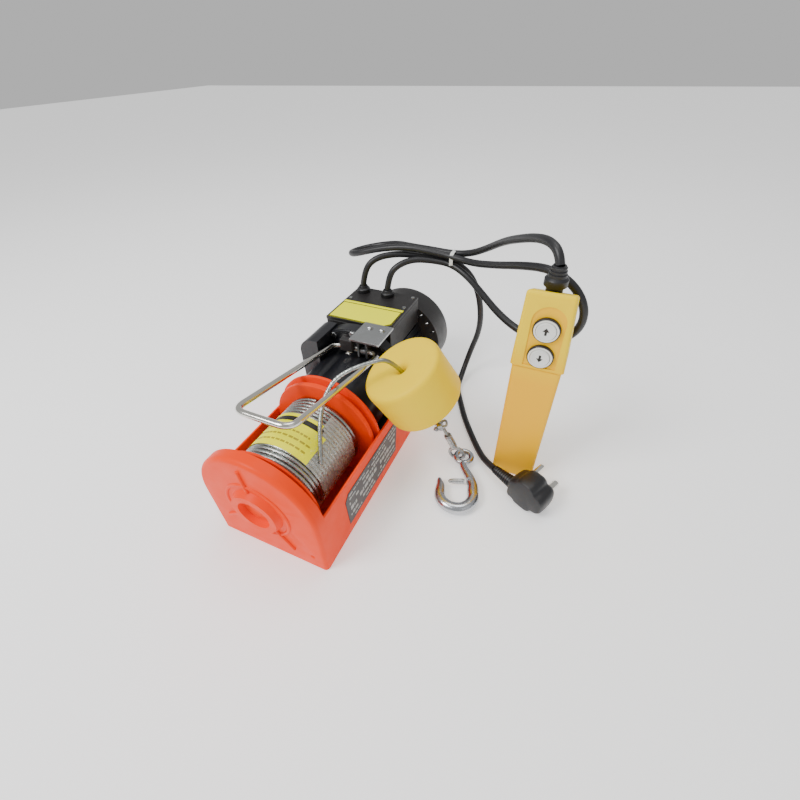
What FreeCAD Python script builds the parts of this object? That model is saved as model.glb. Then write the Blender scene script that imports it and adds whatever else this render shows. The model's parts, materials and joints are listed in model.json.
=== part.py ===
import FreeCAD, Part
import math
import os
import re
import Sketcher

# Electric wire rope hoist.  X runs across the frame, Y along the drum shaft from
# the front end plate to the fan, Z up.  The origin is the centre of the four
# mounting holes, on the underside of the base.

V = FreeCAD.Vector
doc = FreeCAD.newDocument("wire_rope_hoist")

# ---------------------------------------------------------------- dimensions
SIZES = dict(
    sheet_wall=2.5, half_width=71.4, rail_top=81.3, channel_back=120.0,
    bolt_span_x=116.0, bolt_span_y=180.0, bolt_hole=4.25,
    plate_front=-120.0, plate_thick=3.0, plate_radius=72.0, rim_depth=14.3,
    axis_height=72.6, boss_radius=30.0, boss_reach=7.0, ridge_radius=37.5, rib_width=3.2,
    recess_radius=19.0, bearing_seat=12.0,
    mount_front=18.0, mount_thick=4.0,
    drum_front=-98.0, front_flange=60.0, front_flange_thick=3.0, core_radius=30.0, core_wall=4.0,
    rear_flange=66.0, rear_flange_front=5.5, rear_flange_thick=8.0,
    winding_radius=50.0, rope_radius=2.5,
    shaft_radius=8.0, running=0.05, shaft_front=-116.5, shaft_back=105.0,
    low_module=1.25, low_wheel=60, low_pinion=10, low_front=60.0, low_width=16.0,
    high_module=1.0, high_wheel=63, high_pinion=9, high_front=108.5, high_width=7.0,
    idler_turn=135.2, motor_turn=-50.2, idler_radius=3.8, motor_shaft_end=2.2, motor_shaft_radius=5.0,
    case_front=22.0, case_joint=106.0, case_back=122.0, case_wall=4.0,
    case_radius=50.0, idler_lobe=17.0, cover_radius=63.0, cover_x=-8.0, cover_height=90.0,
    shoulder_left=-68.0, shoulder_right=-40.0, shoulder_front=72.0, shoulder_low=60.0,
    shoulder_top=148.0, shoulder_round=20.0,
    motor_radius=50.0, motor_wall=5.0, motor_back=225.0, core_front=145.0, core_back=195.0,
    stator_bore=26.0, air_gap=0.5,
    cowl_radius=66.0, cowl_x=1.8, cowl_back=272.0, cowl_wall=2.0,
    box_left=-62.0, box_right=34.0, box_front=130.0, box_back=225.0, box_floor=110.0,
    box_top=146.0, lid_thick=4.0, box_wall=3.0, gland_y=213.0, gland_mains_x=-48.0, gland_pendant_x=-9.0,
    lever_half=33.0, lever_front_y=-79.0, lever_front_z=165.0, lever_pivot_y=100.0,
    lever_pivot_z=130.0, lever_rod=3.5, lever_corner=14.0, bracket_under=152.7,
    weight_radius=47.5, weight_length=61.0, weight_bore=3.6, weight_funnel=9.0,
    cable_radius=4.4,
    handset_x=221.0, handset_front=84.0, grip_width=50.0, grip_depth=42.0, grip_top=172.0,
    head_width=54.0, head_depth=46.0, head_top=257.0, shell_wall=2.5,
    button_up_z=218.0, button_down_z=188.0, button_radius=9.5, collar_radius=13.0,
)
sheet = doc.addObject("Spreadsheet::Sheet", "dims")
for row, (alias, value) in enumerate(SIZES.items(), start=1):
    sheet.set("A%d" % row, alias)
    sheet.set("B%d" % row, str(value))
    sheet.setAlias("B%d" % row, alias)
doc.recompute()
pieces = []


def dim(alias):
    """The value of one cell of the sheet."""
    return float(sheet.get(alias))


def formula(text):
    """An expression in which every word of the sheet refers to its cell."""
    return re.sub(r"[a-z][a-z_]+", lambda word: "dims." + word.group(0) if word.group(0) in SIZES else word.group(0),
                  str(text))


TURNS = {
    "x": FreeCAD.Rotation(V(0, 1, 0), 90),
    "y": FreeCAD.Rotation(V(1, 0, 0), -90),
    "z": FreeCAD.Rotation(),
}


def put(thing, place, turn=None):
    """Place an object with its base bound to three expressions."""
    thing.Placement = FreeCAD.Placement(V(), turn or FreeCAD.Rotation())
    for axis, text in zip("xyz", place):
        thing.setExpression(".Placement.Base." + axis, formula(text))
    return thing


def block(name, low, high):
    """A box between two corners, each given as three expressions."""
    box = doc.addObject("Part::Box", name)
    for prop, start, end in zip(("Length", "Width", "Height"), low, high):
        box.setExpression(prop, formula("(%s) - (%s)" % (end, start)))
    return put(box, low)


def rod(name, radius, place, length, axis="y"):
    """A cylinder that starts at a place and runs along an axis."""
    cylinder = doc.addObject("Part::Cylinder", name)
    cylinder.setExpression("Radius", formula(radius))
    cylinder.setExpression("Height", formula(length))
    return put(cylinder, place, TURNS[axis])


def fuse(name, *parts):
    union = doc.addObject("Part::MultiFuse", name)
    union.Shapes = list(parts)
    return union


def cut(name, base, *tools):
    result = doc.addObject("Part::Cut", name)
    result.Base = base
    result.Tool = tools[0] if len(tools) == 1 else fuse(name + "_tools", *tools)
    return result


def group(name, *parts):
    """Identical loose pieces kept together in one node as separate solids."""
    compound = doc.addObject("Part::Compound", name)
    compound.Links = list(parts)
    return keep(name, compound)


def keep(name, thing):
    """Name an object as a finished sub-part."""
    thing.Label = name
    pieces.append((name, thing))
    return thing


def shaped(name, shape, place=None):
    """A sub-part whose shape is worked out from the sheet by this script."""
    feature = doc.addObject("Part::Feature", name + "_shape")
    feature.Shape = shape
    feature.Placement = (place or FreeCAD.Placement()) * shape.Placement
    return feature


def ring(name, outer, inner, start, length, x=0, z="axis_height"):
    """A ring about an axis along Y."""
    return cut(name, rod(name + "_outer", outer, (x, start, z), length),
               rod(name + "_inner", inner, (x, "(%s) - 1" % start, z), "(%s) + 2" % length))


def outline(body, points, plane="XZ_Plane"):
    """A fully constrained closed sketch through points given as expressions."""
    sketch = body.newObject("Sketcher::SketchObject", body.Name + "_outline")
    support = [item for item in body.Origin.OriginFeatures if item.Role == plane][0]
    sketch.AttachmentSupport = [(support, "")]
    sketch.MapMode = "FlatFace"
    values = [[float(number_of(text)) for text in point] for point in points]
    count = len(points)
    for index in range(count):
        start, end = values[index], values[(index + 1) % count]
        sketch.addGeometry(Part.LineSegment(V(start[0], start[1], 0), V(end[0], end[1], 0)), False)
    for index in range(count):
        sketch.addConstraint(Sketcher.Constraint("Coincident", index, 2, (index + 1) % count, 1))
    for index, point in enumerate(points):
        for kind, text, value in (("DistanceX", point[0], values[index][0]), ("DistanceY", point[1], values[index][1])):
            number = sketch.addConstraint(Sketcher.Constraint(kind, -1, 1, index, 1, value))
            sketch.setExpression("Constraints[%d]" % number, formula(text))
    return sketch


def number_of(text):
    """The number that an expression of the sheet's words stands for."""
    probe = doc.addObject("App::FeaturePython", "probe")
    probe.addProperty("App::PropertyFloat", "Value")
    probe.setExpression("Value", formula(text))
    doc.recompute([probe])
    value = probe.Value
    doc.removeObject(probe.Name)
    return value


def turned(name, profile, base=(0, 0, 0), turn=None):
    """A body turned about its own Z axis from a profile of (radius, height) points."""
    body = doc.addObject("PartDesign::Body", name)
    sketch = outline(body, profile)
    revolution = body.newObject("PartDesign::Revolution", name + "_turned")
    revolution.Profile = sketch
    revolution.ReferenceAxis = (sketch, ["V_Axis"])
    revolution.Angle = 360
    body.Tip = revolution
    return put(body, base, turn)


def on_shaft(name, profile, x=0, z="axis_height"):
    """A body turned about an axis along Y; the profile's heights are Y positions."""
    return turned(name, profile, (x, 0, z), TURNS["y"])


def prism(name, points, base, turn, length):
    """A body padded from an outline in its own XY plane."""
    body = doc.addObject("PartDesign::Body", name)
    sketch = outline(body, points, "XY_Plane")
    pad = body.newObject("PartDesign::Pad", name + "_pad")
    pad.Profile = sketch
    pad.setExpression("Length", formula(length))
    body.Tip = pad
    return put(body, base, turn)


# ---------------------------------------------------------------- positions
axis_height = dim("axis_height")
low_centres = dim("low_module") * (dim("low_wheel") + dim("low_pinion")) / 2
high_centres = dim("high_module") * (dim("high_wheel") + dim("high_pinion")) / 2
idler = V(low_centres * math.cos(math.radians(dim("idler_turn"))), 0,
          axis_height + low_centres * math.sin(math.radians(dim("idler_turn"))))
motor = idler + V(high_centres * math.cos(math.radians(dim("motor_turn"))), 0,
                  high_centres * math.sin(math.radians(dim("motor_turn"))))
IDLER_X = "low_module * (low_wheel + low_pinion) / 2 * cos(idler_turn)"
IDLER_Z = "axis_height + low_module * (low_wheel + low_pinion) / 2 * sin(idler_turn)"
MOTOR_X = IDLER_X + " + high_module * (high_wheel + high_pinion) / 2 * cos(motor_turn)"
MOTOR_Z = IDLER_Z + " + high_module * (high_wheel + high_pinion) / 2 * sin(motor_turn)"

# ---------------------------------------------------------------- frame
def base_channel():
    """Folded steel channel with four mounting holes in its floor."""
    outer = block("channel_outer", ("-half_width", "plate_front + rim_depth", 0), ("half_width", "channel_back", "rail_top"))
    inner = block("channel_inner", ("sheet_wall - half_width", "plate_front + rim_depth - 1", "sheet_wall"),
                  ("half_width - sheet_wall", "channel_back + 1", "rail_top + 1"))
    holes = [rod("mount_hole", "bolt_hole", ("%d * bolt_span_x / 2" % side, "%d * bolt_span_y / 2" % end, -1),
                 "sheet_wall + 2", "z") for side in (-1, 1) for end in (-1, 1)]
    keep("base_channel", cut("base_channel", outer, inner, *holes))


def arched_face(radius, half_width, low, y):
    """The end plate's outline: a half circle on two straight sides."""
    top = V(0, y, axis_height + radius)
    left, right = V(-radius, y, axis_height), V(radius, y, axis_height)
    corners = [V(half_width, y, low), V(-half_width, y, low)]
    edges = [Part.Arc(left, top, right).toShape(), Part.makeLine(right, corners[0]),
             Part.makeLine(corners[0], corners[1]), Part.makeLine(corners[1], left)]
    return Part.Face(Part.Wire(edges))


def front_end_plate():
    """Pressed end plate: turned-back rim, raised boss with a bearing seat, ring ridge and ribs."""
    front, thick, wall = dim("plate_front"), dim("plate_thick"), dim("sheet_wall")
    radius, half_width = dim("plate_radius"), dim("half_width")
    pan = arched_face(radius, half_width, 0, front).extrude(V(0, dim("rim_depth"), 0))
    front_edges = [edge for edge in pan.Edges if abs(edge.BoundBox.YMax - front) < 1e-6 and edge.BoundBox.ZMax > 1]
    pan = pan.makeFillet(5.0, front_edges)
    hollow = arched_face(radius - wall, half_width - wall, wall, front + thick).extrude(V(0, dim("rim_depth"), 0))
    pan = pan.cut(hollow)
    along, centre = V(0, 1, 0), V(0, 0, axis_height)
    reach = dim("boss_reach")
    boss = Part.makeCone(dim("boss_radius") - 3, dim("boss_radius"), reach, centre + V(0, front - reach, 0), along)
    seat = Part.makeCylinder(dim("bearing_seat") + 6, 12, centre + V(0, front, 0), along)
    pan = pan.fuse([boss, seat, Part.makeTorus(dim("ridge_radius"), 2.2, centre + V(0, front + 0.6, 0), along)])
    rib_width = dim("rib_width")
    for angle, start, end in ((95, 26, 60), (-57, 26, 62), (215, 26, 60)):
        rib = Part.makeBox(end - start, rib_width * 2, rib_width, V(start, -rib_width, -rib_width / 2))
        rib = rib.makeFillet(1.4, [edge for edge in rib.Edges if edge.BoundBox.YMax < 0])
        rib.rotate(V(), V(0, 1, 0), -angle)
        rib.translate(centre + V(0, front + 0.6, 0))
        pan = pan.fuse(rib)
    recess = Part.makeCylinder(dim("recess_radius"), reach + 3, centre + V(0, front - reach - 1, 0), along)
    bore = Part.makeCylinder(dim("bearing_seat"), 40, centre + V(0, front - 20, 0), along)
    dimple = Part.makeSphere(4.0, V(56, front - 2.4, 20))
    keep("front_end_plate", shaped("front_end_plate", pan.cut([recess, bore, dimple]).removeSplitter()))


def frame_parts():
    base_channel()
    front_end_plate()
    keep("bearing_cap", on_shaft("bearing_cap", [
        (0, "plate_front - 1"), (8, "plate_front - 1"), (11, "plate_front + 0.5"),
        ("recess_radius", "plate_front + 0.5"), ("recess_radius", "plate_front + 2"), (0, "plate_front + 2")]))
    arch = rod("mount_arch", "half_width - sheet_wall", (0, "mount_front", "axis_height"), "mount_thick")
    foot = block("mount_foot", ("sheet_wall - half_width", "mount_front", "sheet_wall"),
                 ("half_width - sheet_wall", "mount_front + mount_thick", "axis_height"))
    shaft_hole = rod("mount_hole_shaft", "bearing_seat + 3", (0, "mount_front - 1", "axis_height"), "mount_thick + 2")
    keep("mount_plate", cut("mount_plate", fuse("mount_plate_blank", arch, foot), shaft_hole))
    slate = [(-68, 16), (54, 16), (60, 60), (55, 66), (-63, 66), (-70, 58)]
    keep("rail_label", prism("rail_label", slate, ("half_width", 0, 0),
                             FreeCAD.Rotation(V(1, 1, 1), 120), 0.6))


# ---------------------------------------------------------------- gears
def involute(angle):
    return math.tan(angle) - angle


def gear_face(module, teeth, addendum, dedendum, backlash):
    """Outline of an involute spur gear with its first tooth on +X, in the XY plane."""
    pressure = math.radians(20)
    pitch = module * teeth / 2
    base = pitch * math.cos(pressure)
    root, tip = pitch - dedendum * module, pitch + addendum * module
    start = max(base, root)
    flank = []
    for step in range(6):
        radius = start + (tip - start) * step / 5
        half = (math.pi / (2 * teeth) - backlash / (2 * pitch) + involute(pressure)
                - involute(math.acos(min(1, base / radius))))
        flank.append((radius, half))
    if root < base:
        flank.insert(0, (root, flank[0][1]))
    points = []
    for tooth in range(teeth):
        middle = 2 * math.pi * tooth / teeth
        for radius, half in flank:
            points.append(V(radius * math.cos(middle - half), radius * math.sin(middle - half), 0))
        for radius, half in reversed(flank):
            points.append(V(radius * math.cos(middle + half), radius * math.sin(middle + half), 0))
    return Part.Face(Part.makePolygon(points + points[:1]))


def gear(name, module, teeth, bore, centre, start, width, phase, addendum, lightening=None):
    """A spur gear on an axis along Y, its first tooth turned to an angle in the XZ plane."""
    blank = gear_face(module, teeth, addendum, 1.15, 0.18).extrude(V(0, 0, width))
    tools = [Part.makeCylinder(bore, width + 2, V(0, 0, -1))]
    if lightening:
        hub, web, thick = lightening
        groove = Part.makeCylinder(web, width).cut(Part.makeCylinder(hub, width))
        for shift in (thick - width, width - thick):
            piece = groove.copy()
            piece.translate(V(0, 0, shift * 0.5 + (width * 0.5 if shift > 0 else -width * 0.5)))
            tools.append(piece)
    solid = blank.cut(tools)
    solid.rotate(V(), V(0, 0, 1), -phase)
    return keep(name, shaped(name, solid, FreeCAD.Placement(V(centre.x, start, centre.z), TURNS["y"])))


def gear_train():
    """Two-stage reduction from the motor to the drum."""
    towards_idler, towards_motor = dim("idler_turn"), dim("motor_turn")
    gear("drum_gear", dim("low_module"), int(dim("low_wheel")), dim("shaft_radius"), V(0, 0, axis_height),
         dim("low_front"), dim("low_width"), towards_idler, 0.6, (14, 30, 8))
    gear("idler_pinion", dim("low_module"), int(dim("low_pinion")), dim("idler_radius"), idler,
         dim("low_front") - 1, dim("low_width") + 2, towards_idler + 180 + 180 / dim("low_pinion"), 0.9)
    gear("idler_gear", dim("high_module"), int(dim("high_wheel")), dim("idler_radius"), idler,
         dim("high_front"), dim("high_width"), towards_motor, 0.52, (9, 26, 4))
    gear("motor_pinion", dim("high_module"), int(dim("high_pinion")), dim("motor_shaft_end"), motor,
         dim("high_front") - 0.5, dim("high_width") + 1, towards_motor + 180 + 180 / dim("high_pinion"), 0.85)
    keep("idler_shaft", rod("idler_shaft", "idler_radius", (IDLER_X, "case_front + 1", IDLER_Z), "case_back - case_front - 2"))
    seats = []
    for start in ("case_front + 0.5", "case_back - 4.5"):
        seats.append(ring("idler_bush", "idler_radius + 3", "idler_radius + running", start, "4", IDLER_X, IDLER_Z))
    group("idler_bushes", *seats)


def gear_cases():
    """Cast gear housing in two halves, split behind the slow wheel."""
    drum_boss = rod("case_round", "case_radius", (0, "case_front", "axis_height"), "case_joint - case_front")
    lobe = rod("case_lobe", "idler_lobe", (IDLER_X, "case_front", IDLER_Z), "case_joint - case_front")
    foot = block("case_foot", (-50, "case_front", "sheet_wall"), (50, "case_joint", 44))
    hollow = rod("case_hollow", "case_radius - case_wall", (0, "case_front + case_wall * 2", "axis_height"),
                 "case_joint - case_front")
    lobe_hollow = rod("case_lobe_hollow", "idler_lobe - case_wall", (IDLER_X, "case_front + case_wall * 2", IDLER_Z),
                      "case_joint - case_front")
    drum_seat = rod("case_drum_seat", "bearing_seat", (0, "case_front - 1", "axis_height"), 20)
    idler_seat = rod("case_idler_seat", "idler_radius + 3", (IDLER_X, "case_front + 0.5", IDLER_Z), 20)
    keep("gear_case_front", cut("gear_case_front", fuse("case_front_blank", drum_boss, lobe, foot),
                                hollow, lobe_hollow, drum_seat, idler_seat))

    cover = rod("cover_round", "cover_radius", ("cover_x", "case_joint", "cover_height"), "case_back - case_joint")
    cover_foot = block("cover_foot", (-60, "case_joint", "sheet_wall"), (52, "case_back", 80))
    high_hollow = rod("cover_hollow", "high_module * high_wheel / 2 + 2", (IDLER_X, "high_front - 1", IDLER_Z),
                      "high_width + 2")
    pinion_hollow = rod("cover_pinion_hollow", 7, (MOTOR_X, "high_front - 1", MOTOR_Z), "high_width + 2")
    pedestal = rod("cover_pedestal", "bearing_seat + 4", (0, "case_joint - 12", "axis_height"), 12)
    shaft_seat = rod("cover_shaft_seat", "bearing_seat", (0, "case_joint - 13", "axis_height"), 12.5)
    idler_way = rod("cover_idler_way", "idler_radius + 3", (IDLER_X, "case_joint - 1", IDLER_Z), "case_back - case_joint + 0.5")
    motor_way = rod("cover_motor_way", 9, (MOTOR_X, "high_front", MOTOR_Z), 30)
    side_relief = block("cover_side_relief", (-80, "case_joint - 1", 0), ("sheet_wall - half_width + 0.4", "case_back + 1", "rail_top + 0.5"))
    screws = [rod("cover_screw_hole", 2.5, screw_place(angle), 8) for angle in SCREW_ANGLES]
    shoulder = cover_shoulder()
    keep("gear_case_rear", cut("gear_case_rear", fuse("case_rear_blank", cover, cover_foot, pedestal, shoulder), high_hollow,
                               pinion_hollow, shaft_seat, idler_way, motor_way, side_relief, *screws))
    bolts = []
    for angle in SCREW_ANGLES:
        x, y, z = screw_place(angle)
        head = rod("screw_head", 4.2, (x, "case_joint - 3", z), 3)
        bolts.append(fuse("case_screw", head, rod("screw_shank", 2.5, (x, y, z), 8)))
    group("case_screws", *bolts)


SCREW_ANGLES = (6, 36, 90, 118)


def screw_place(angle):
    """Where a cover screw enters, on a circle near the cover's edge."""
    return ("cover_x + (cover_radius - 5) * cos(%d)" % angle, "case_joint",
            "cover_height + (cover_radius - 5) * sin(%d)" % angle)


def cover_shoulder():
    """The rounded shoulder of the rear case beside the lever."""
    box = block("shoulder_block", ("shoulder_left", "shoulder_front", "shoulder_low"),
                ("shoulder_right", "case_back", "shoulder_top"))
    doc.recompute()
    rounded = doc.addObject("Part::Fillet", "shoulder_rounded")
    rounded.Base = box
    left, top = dim("shoulder_left"), dim("shoulder_top")
    corners = [number for number, edge in enumerate(box.Shape.Edges, start=1)
               if edge.BoundBox.XMax < left + 1 and edge.BoundBox.ZMin > top - 1]
    rounded.Edges = [(number, dim("shoulder_round"), dim("shoulder_round")) for number in corners]
    beside = [rod("shoulder_case_relief", radius, (x, "shoulder_front - 1", z), "case_joint - shoulder_front + 1")
              for radius, x, z in (("case_radius + 0.1", 0, "axis_height"), ("idler_lobe + 0.1", IDLER_X, IDLER_Z))]
    return cut("shoulder", rounded, *beside)


# ---------------------------------------------------------------- drum
def drum_parts():
    keep("drum", on_shaft("drum", [
        ("shaft_radius", "drum_front"), ("front_flange", "drum_front"),
        ("front_flange", "drum_front + front_flange_thick"), ("core_radius", "drum_front + front_flange_thick"),
        ("core_radius", "rear_flange_front"), ("rear_flange", "rear_flange_front"),
        ("rear_flange", "rear_flange_front + rear_flange_thick - 2"),
        ("rear_flange - 2", "rear_flange_front + rear_flange_thick"),
        ("shaft_radius", "rear_flange_front + rear_flange_thick"), ("shaft_radius", "rear_flange_front"),
        ("core_radius - core_wall", "rear_flange_front"), ("core_radius - core_wall", "drum_front + 6"),
        ("shaft_radius", "drum_front + 6")]))
    keep("drum_shaft", on_shaft("drum_shaft", [
        (0, "shaft_front"), ("shaft_radius - 1", "shaft_front"), ("shaft_radius", "shaft_front + 1"),
        ("shaft_radius", "shaft_back - 1"), ("shaft_radius - 1", "shaft_back"), (0, "shaft_back")]))
    keep("rope_winding", ring("rope_winding", "winding_radius", "core_radius",
                              "drum_front + front_flange_thick", "rear_flange_front - drum_front - front_flange_thick"))
    clamp = block("rope_clamp", (34, "rear_flange_front + rear_flange_thick", "axis_height - 6"),
                  (46, "rear_flange_front + rear_flange_thick + 2.5", "axis_height + 6"))
    keep("rope_clamp", clamp)
    bushes = [ring("drum_bush", "bearing_seat", "shaft_radius + running", start, length)
              for start, length in (("plate_front + 2", 10), ("case_front - 1", 9), ("case_joint - 11", 9))]
    group("drum_bushes", *bushes)


# ---------------------------------------------------------------- motor, brake and fan
def motor_parts():
    tube = on_shaft("motor_tube", [
        ("motor_shaft_radius + 6", "case_back"), ("motor_radius", "case_back"), ("motor_radius", "motor_back"),
        ("motor_shaft_radius + 6", "motor_back"), ("motor_shaft_radius + 6", "motor_back - 6"),
        ("motor_radius - motor_wall", "motor_back - 6"), ("motor_radius - motor_wall", "case_back + 5"),
        ("motor_shaft_radius + 6", "case_back + 5")], MOTOR_X, MOTOR_Z)
    doc.recompute()
    solid = tube.Shape.copy()
    inner, outer = dim("motor_radius") - 1, dim("motor_radius") + 2.5
    start, length = dim("case_back") + 6, dim("motor_back") - dim("case_back") - 12
    for number in range(30):
        fin = Part.makeBox(outer - inner, length, 2, V(inner, start, -1))
        fin.rotate(V(), V(0, 1, 0), -12 * number)
        fin.translate(V(motor.x, 0, motor.z))
        if fin.BoundBox.ZMin < dim("box_floor") - 2 and fin.BoundBox.ZMin > 3:
            solid = solid.fuse(fin)
    keep("motor_housing", shaped("motor_housing", solid))
    keep("stator_core", ring("stator_core", "motor_radius - motor_wall", "stator_bore", "core_front",
                             "core_back - core_front", MOTOR_X, MOTOR_Z))
    coils = [ring("stator_coil", "motor_radius - motor_wall - 3", "stator_bore + 1.5", start, 12, MOTOR_X, MOTOR_Z)
             for start in ("core_front - 12", "core_back")]
    group("stator_windings", *coils)
    keep("rotor_core", ring("rotor_core", "stator_bore - air_gap", "motor_shaft_radius", "core_front",
                            "core_back - core_front", MOTOR_X, MOTOR_Z))
    keep("motor_shaft", on_shaft("motor_shaft", [
        (0, "high_front - 0.5"), ("motor_shaft_end", "high_front - 0.5"), ("motor_shaft_end", "case_back - 5.5"),
        ("motor_shaft_radius", "case_back - 5.5"), ("motor_shaft_radius", "cowl_back - 8"), (0, "cowl_back - 8")],
        MOTOR_X, MOTOR_Z))
    bearings = []
    for start, outer_ring in (("case_back - 5", "9"), ("motor_back - 6", "motor_shaft_radius + 6")):
        bearings.append(ring("motor_bearing", outer_ring, "motor_shaft_radius + running", start, 5, MOTOR_X, MOTOR_Z))
    group("motor_bearings", *bearings)
    keep("brake_coil", ring("brake_coil", 26, 9, "motor_back", 11, MOTOR_X, MOTOR_Z))
    keep("brake_armature", ring("brake_armature", 30, 9, "motor_back + 11.8", 4, MOTOR_X, MOTOR_Z))
    keep("brake_disc", ring("brake_disc", 32, "motor_shaft_radius", "motor_back + 16", 3, MOTOR_X, MOTOR_Z))
    fan_and_cowl()


def fan_and_cowl():
    """Radial fan on the shaft's end, under a vented cowl."""
    start = dim("motor_back") + 24
    along = V(0, 1, 0)
    hub = Part.makeCylinder(14, 12, V(0, start, 0), along).fuse(Part.makeCylinder(42, 2, V(0, start, 0), along))
    for number in range(8):
        blade = Part.makeBox(32, 10, 2, V(12, start + 1, -1))
        blade.rotate(V(12, 0, 0), V(0, 1, 0), 14)
        blade.rotate(V(), V(0, 1, 0), 45 * number)
        hub = hub.fuse(blade)
    hub = hub.cut(Part.makeCylinder(dim("motor_shaft_radius"), 60, V(0, start - 20, 0), along))
    hub.translate(V(motor.x, 0, motor.z))
    keep("fan", shaped("fan", hub))

    radius, wall, front, back = dim("cowl_radius"), dim("cowl_wall"), dim("motor_back"), dim("cowl_back")
    centre = V(dim("cowl_x"), 0, axis_height + 0.9)
    shell = Part.makeCylinder(radius, back - front, centre + V(0, front, 0), along)
    rim = [edge for edge in shell.Edges if edge.BoundBox.YMin > back - 1]
    shell = shell.makeFillet(8, rim)
    shell = shell.cut(Part.makeCylinder(radius - wall, back - front - 2 * wall, centre + V(0, front + wall, 0), along))
    tools = [Part.makeCylinder(dim("motor_shaft_radius") + 22, 10, V(motor.x, front - 1, motor.z), along)]
    tools += [radial_slot(centre, 7.5 + 15 * number, 54.5, 62.5, 2.4, front - 1, 5) for number in range(24)]
    for low, high, turn in ((14, 32, 0), (36, 56, 7.5)):
        tools += [radial_slot(centre, turn + 15 * number, low, high, 3, back - 3, 5) for number in range(24)]
    keep("fan_cowl", shaped("fan_cowl", shell.cut(tools)))


def radial_slot(centre, angle, low, high, width, start, depth):
    """A cutter for one radial vent slot."""
    slot = Part.makeBox(high - low, depth, width, V(low, start, -width / 2))
    slot.rotate(V(), V(0, 1, 0), -angle)
    slot.translate(centre)
    return slot


def terminal_box():
    """Terminal box on the motor, with its lid, label, capacitor and cable glands."""
    saddle = rod("box_saddle", "motor_radius + 0.05", (MOTOR_X, "box_front - 1", MOTOR_Z), "box_back - box_front + 2")
    outer = block("box_outer", ("box_left", "box_front", "box_floor"), ("box_right", "box_back", "box_top"))
    inner = block("box_inner", ("box_left + box_wall", "box_front + box_wall", 128),
                  ("box_right - box_wall", "box_back - box_wall", "box_top + 1"))
    keep("terminal_box", cut("terminal_box", outer, saddle, inner))
    corners = [("box_left", "box_front"), ("box_right - 10", "box_front"), ("box_right", "box_front + 10"),
               ("box_right", "box_back"), ("box_left", "box_back")]
    lid = prism("lid_plate", corners, (0, 0, "box_top"), None, "lid_thick")
    ways = [rod("lid_way", 6, (x, "gland_y", "box_top - 1"), "lid_thick + 2", "z")
            for x in ("gland_mains_x", "gland_pendant_x")]
    keep("terminal_box_lid", cut("terminal_box_lid", lid, *ways))
    label = [("box_left + 2", "box_front + 2"), ("box_right - 12", "box_front + 2"), ("box_right - 3", "box_front + 11"),
             ("box_right - 3", "box_front + 50"), ("box_left + 2", "box_front + 50")]
    keep("box_label", prism("box_label", label, (0, 0, "box_top + lid_thick"), None, 0.6))
    keep("capacitor", rod("capacitor", 8, (22, "box_front + 10", 137.5), 50))
    glands = []
    for x in ("gland_mains_x", "gland_pendant_x"):
        glands.append(turned("cable_gland", [
            (4.6, -3), (6, -3), (6, "lid_thick"), (9.5, "lid_thick"), (9.5, "lid_thick + 6"),
            (7.5, "lid_thick + 7"), (5.8, "lid_thick + 10"), (4.4, "lid_thick + 10"), (4.4, 5), (4.6, 4)],
            (x, "gland_y", "box_top")))
    group("cable_glands", *glands)


# ---------------------------------------------------------------- lever and limit switch
def bent_rod(points, corner, radius, closed=False):
    """A round rod along straight runs with one bend radius."""
    edges, here = [], points[0]
    for before, point, after in zip(points, points[1:], points[2:]):
        arrive, leave = (point - before).normalize(), (after - point).normalize()
        turn = arrive.getAngle(leave)
        reach = corner * math.tan(turn / 2)
        start, end = point - arrive * reach, point + leave * reach
        middle = point + (leave - arrive).normalize() * (corner / math.cos(turn / 2) - corner)
        edges += [Part.LineSegment(here, start).toShape(), Part.Arc(start, middle, end).toShape()]
        here = end
    edges.append(Part.LineSegment(here, points[-1]).toShape())
    path = Part.Wire(edges)
    direction = (points[1] - points[0]).normalize()
    section = Part.Wire(Part.makeCircle(radius, points[0], direction))
    return path.makePipeShell([section], True, False)


def lever_parts():
    half, rod_radius = dim("lever_half"), dim("lever_rod")
    front_y, front_z = dim("lever_front_y"), dim("lever_front_z")
    back_y, back_z = dim("lever_pivot_y"), dim("lever_pivot_z")
    corners = [V(0, back_y, back_z), V(half, back_y, back_z), V(half, front_y, front_z), V(-half, front_y, front_z),
               V(-half, back_y, back_z), V(0, back_y, back_z)]
    loop = bent_rod(corners, dim("lever_corner"), rod_radius)
    tab = Part.makeBox(7, 14, 2, V(-8, back_y - 15.5, back_z + 0.2))
    keep("lever_loop", shaped("lever_loop", loop.fuse(tab)))

    plate = block("bracket_plate", (0, "lever_pivot_y - 16", "bracket_under"), (40, "case_back + 6", "bracket_under + 2.6"))
    web = block("bracket_web", (4, "case_joint - 2", 137), (16, "case_joint", "bracket_under"))
    ears = [block("bracket_ear", (x, "lever_pivot_y - 6", "lever_pivot_z - 6"), (x + 2.5, "case_joint", "bracket_under"))
            for x in (4, 16)]
    pivot = rod("bracket_pivot", "lever_rod + running", (-1, "lever_pivot_y", "lever_pivot_z"), 30, "x")
    keep("lever_bracket", cut("lever_bracket", fuse("bracket_blank", plate, web, *ears), pivot))
    keep("lever_spring", cut("lever_spring", rod("spring_outer", "lever_rod + 2.3", (7, "lever_pivot_y", "lever_pivot_z"), 8, "x"),
                             rod("spring_inner", "lever_rod + 0.4", (6, "lever_pivot_y", "lever_pivot_z"), 10, "x")))
    switch = block("switch_body", (-13, "lever_pivot_y - 17.5", 137), (3.5, "lever_pivot_y - 9", "bracket_under"))
    well = rod("plunger_well", 1.45, (-4.5, "lever_pivot_y - 13.5", 136), 8, "z")
    keep("limit_switch", cut("limit_switch", switch, well))
    keep("switch_plunger", rod("switch_plunger", 1.4, (-4.5, "lever_pivot_y - 13.5", "lever_pivot_z + 2.6"), 8, "z"))


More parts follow.
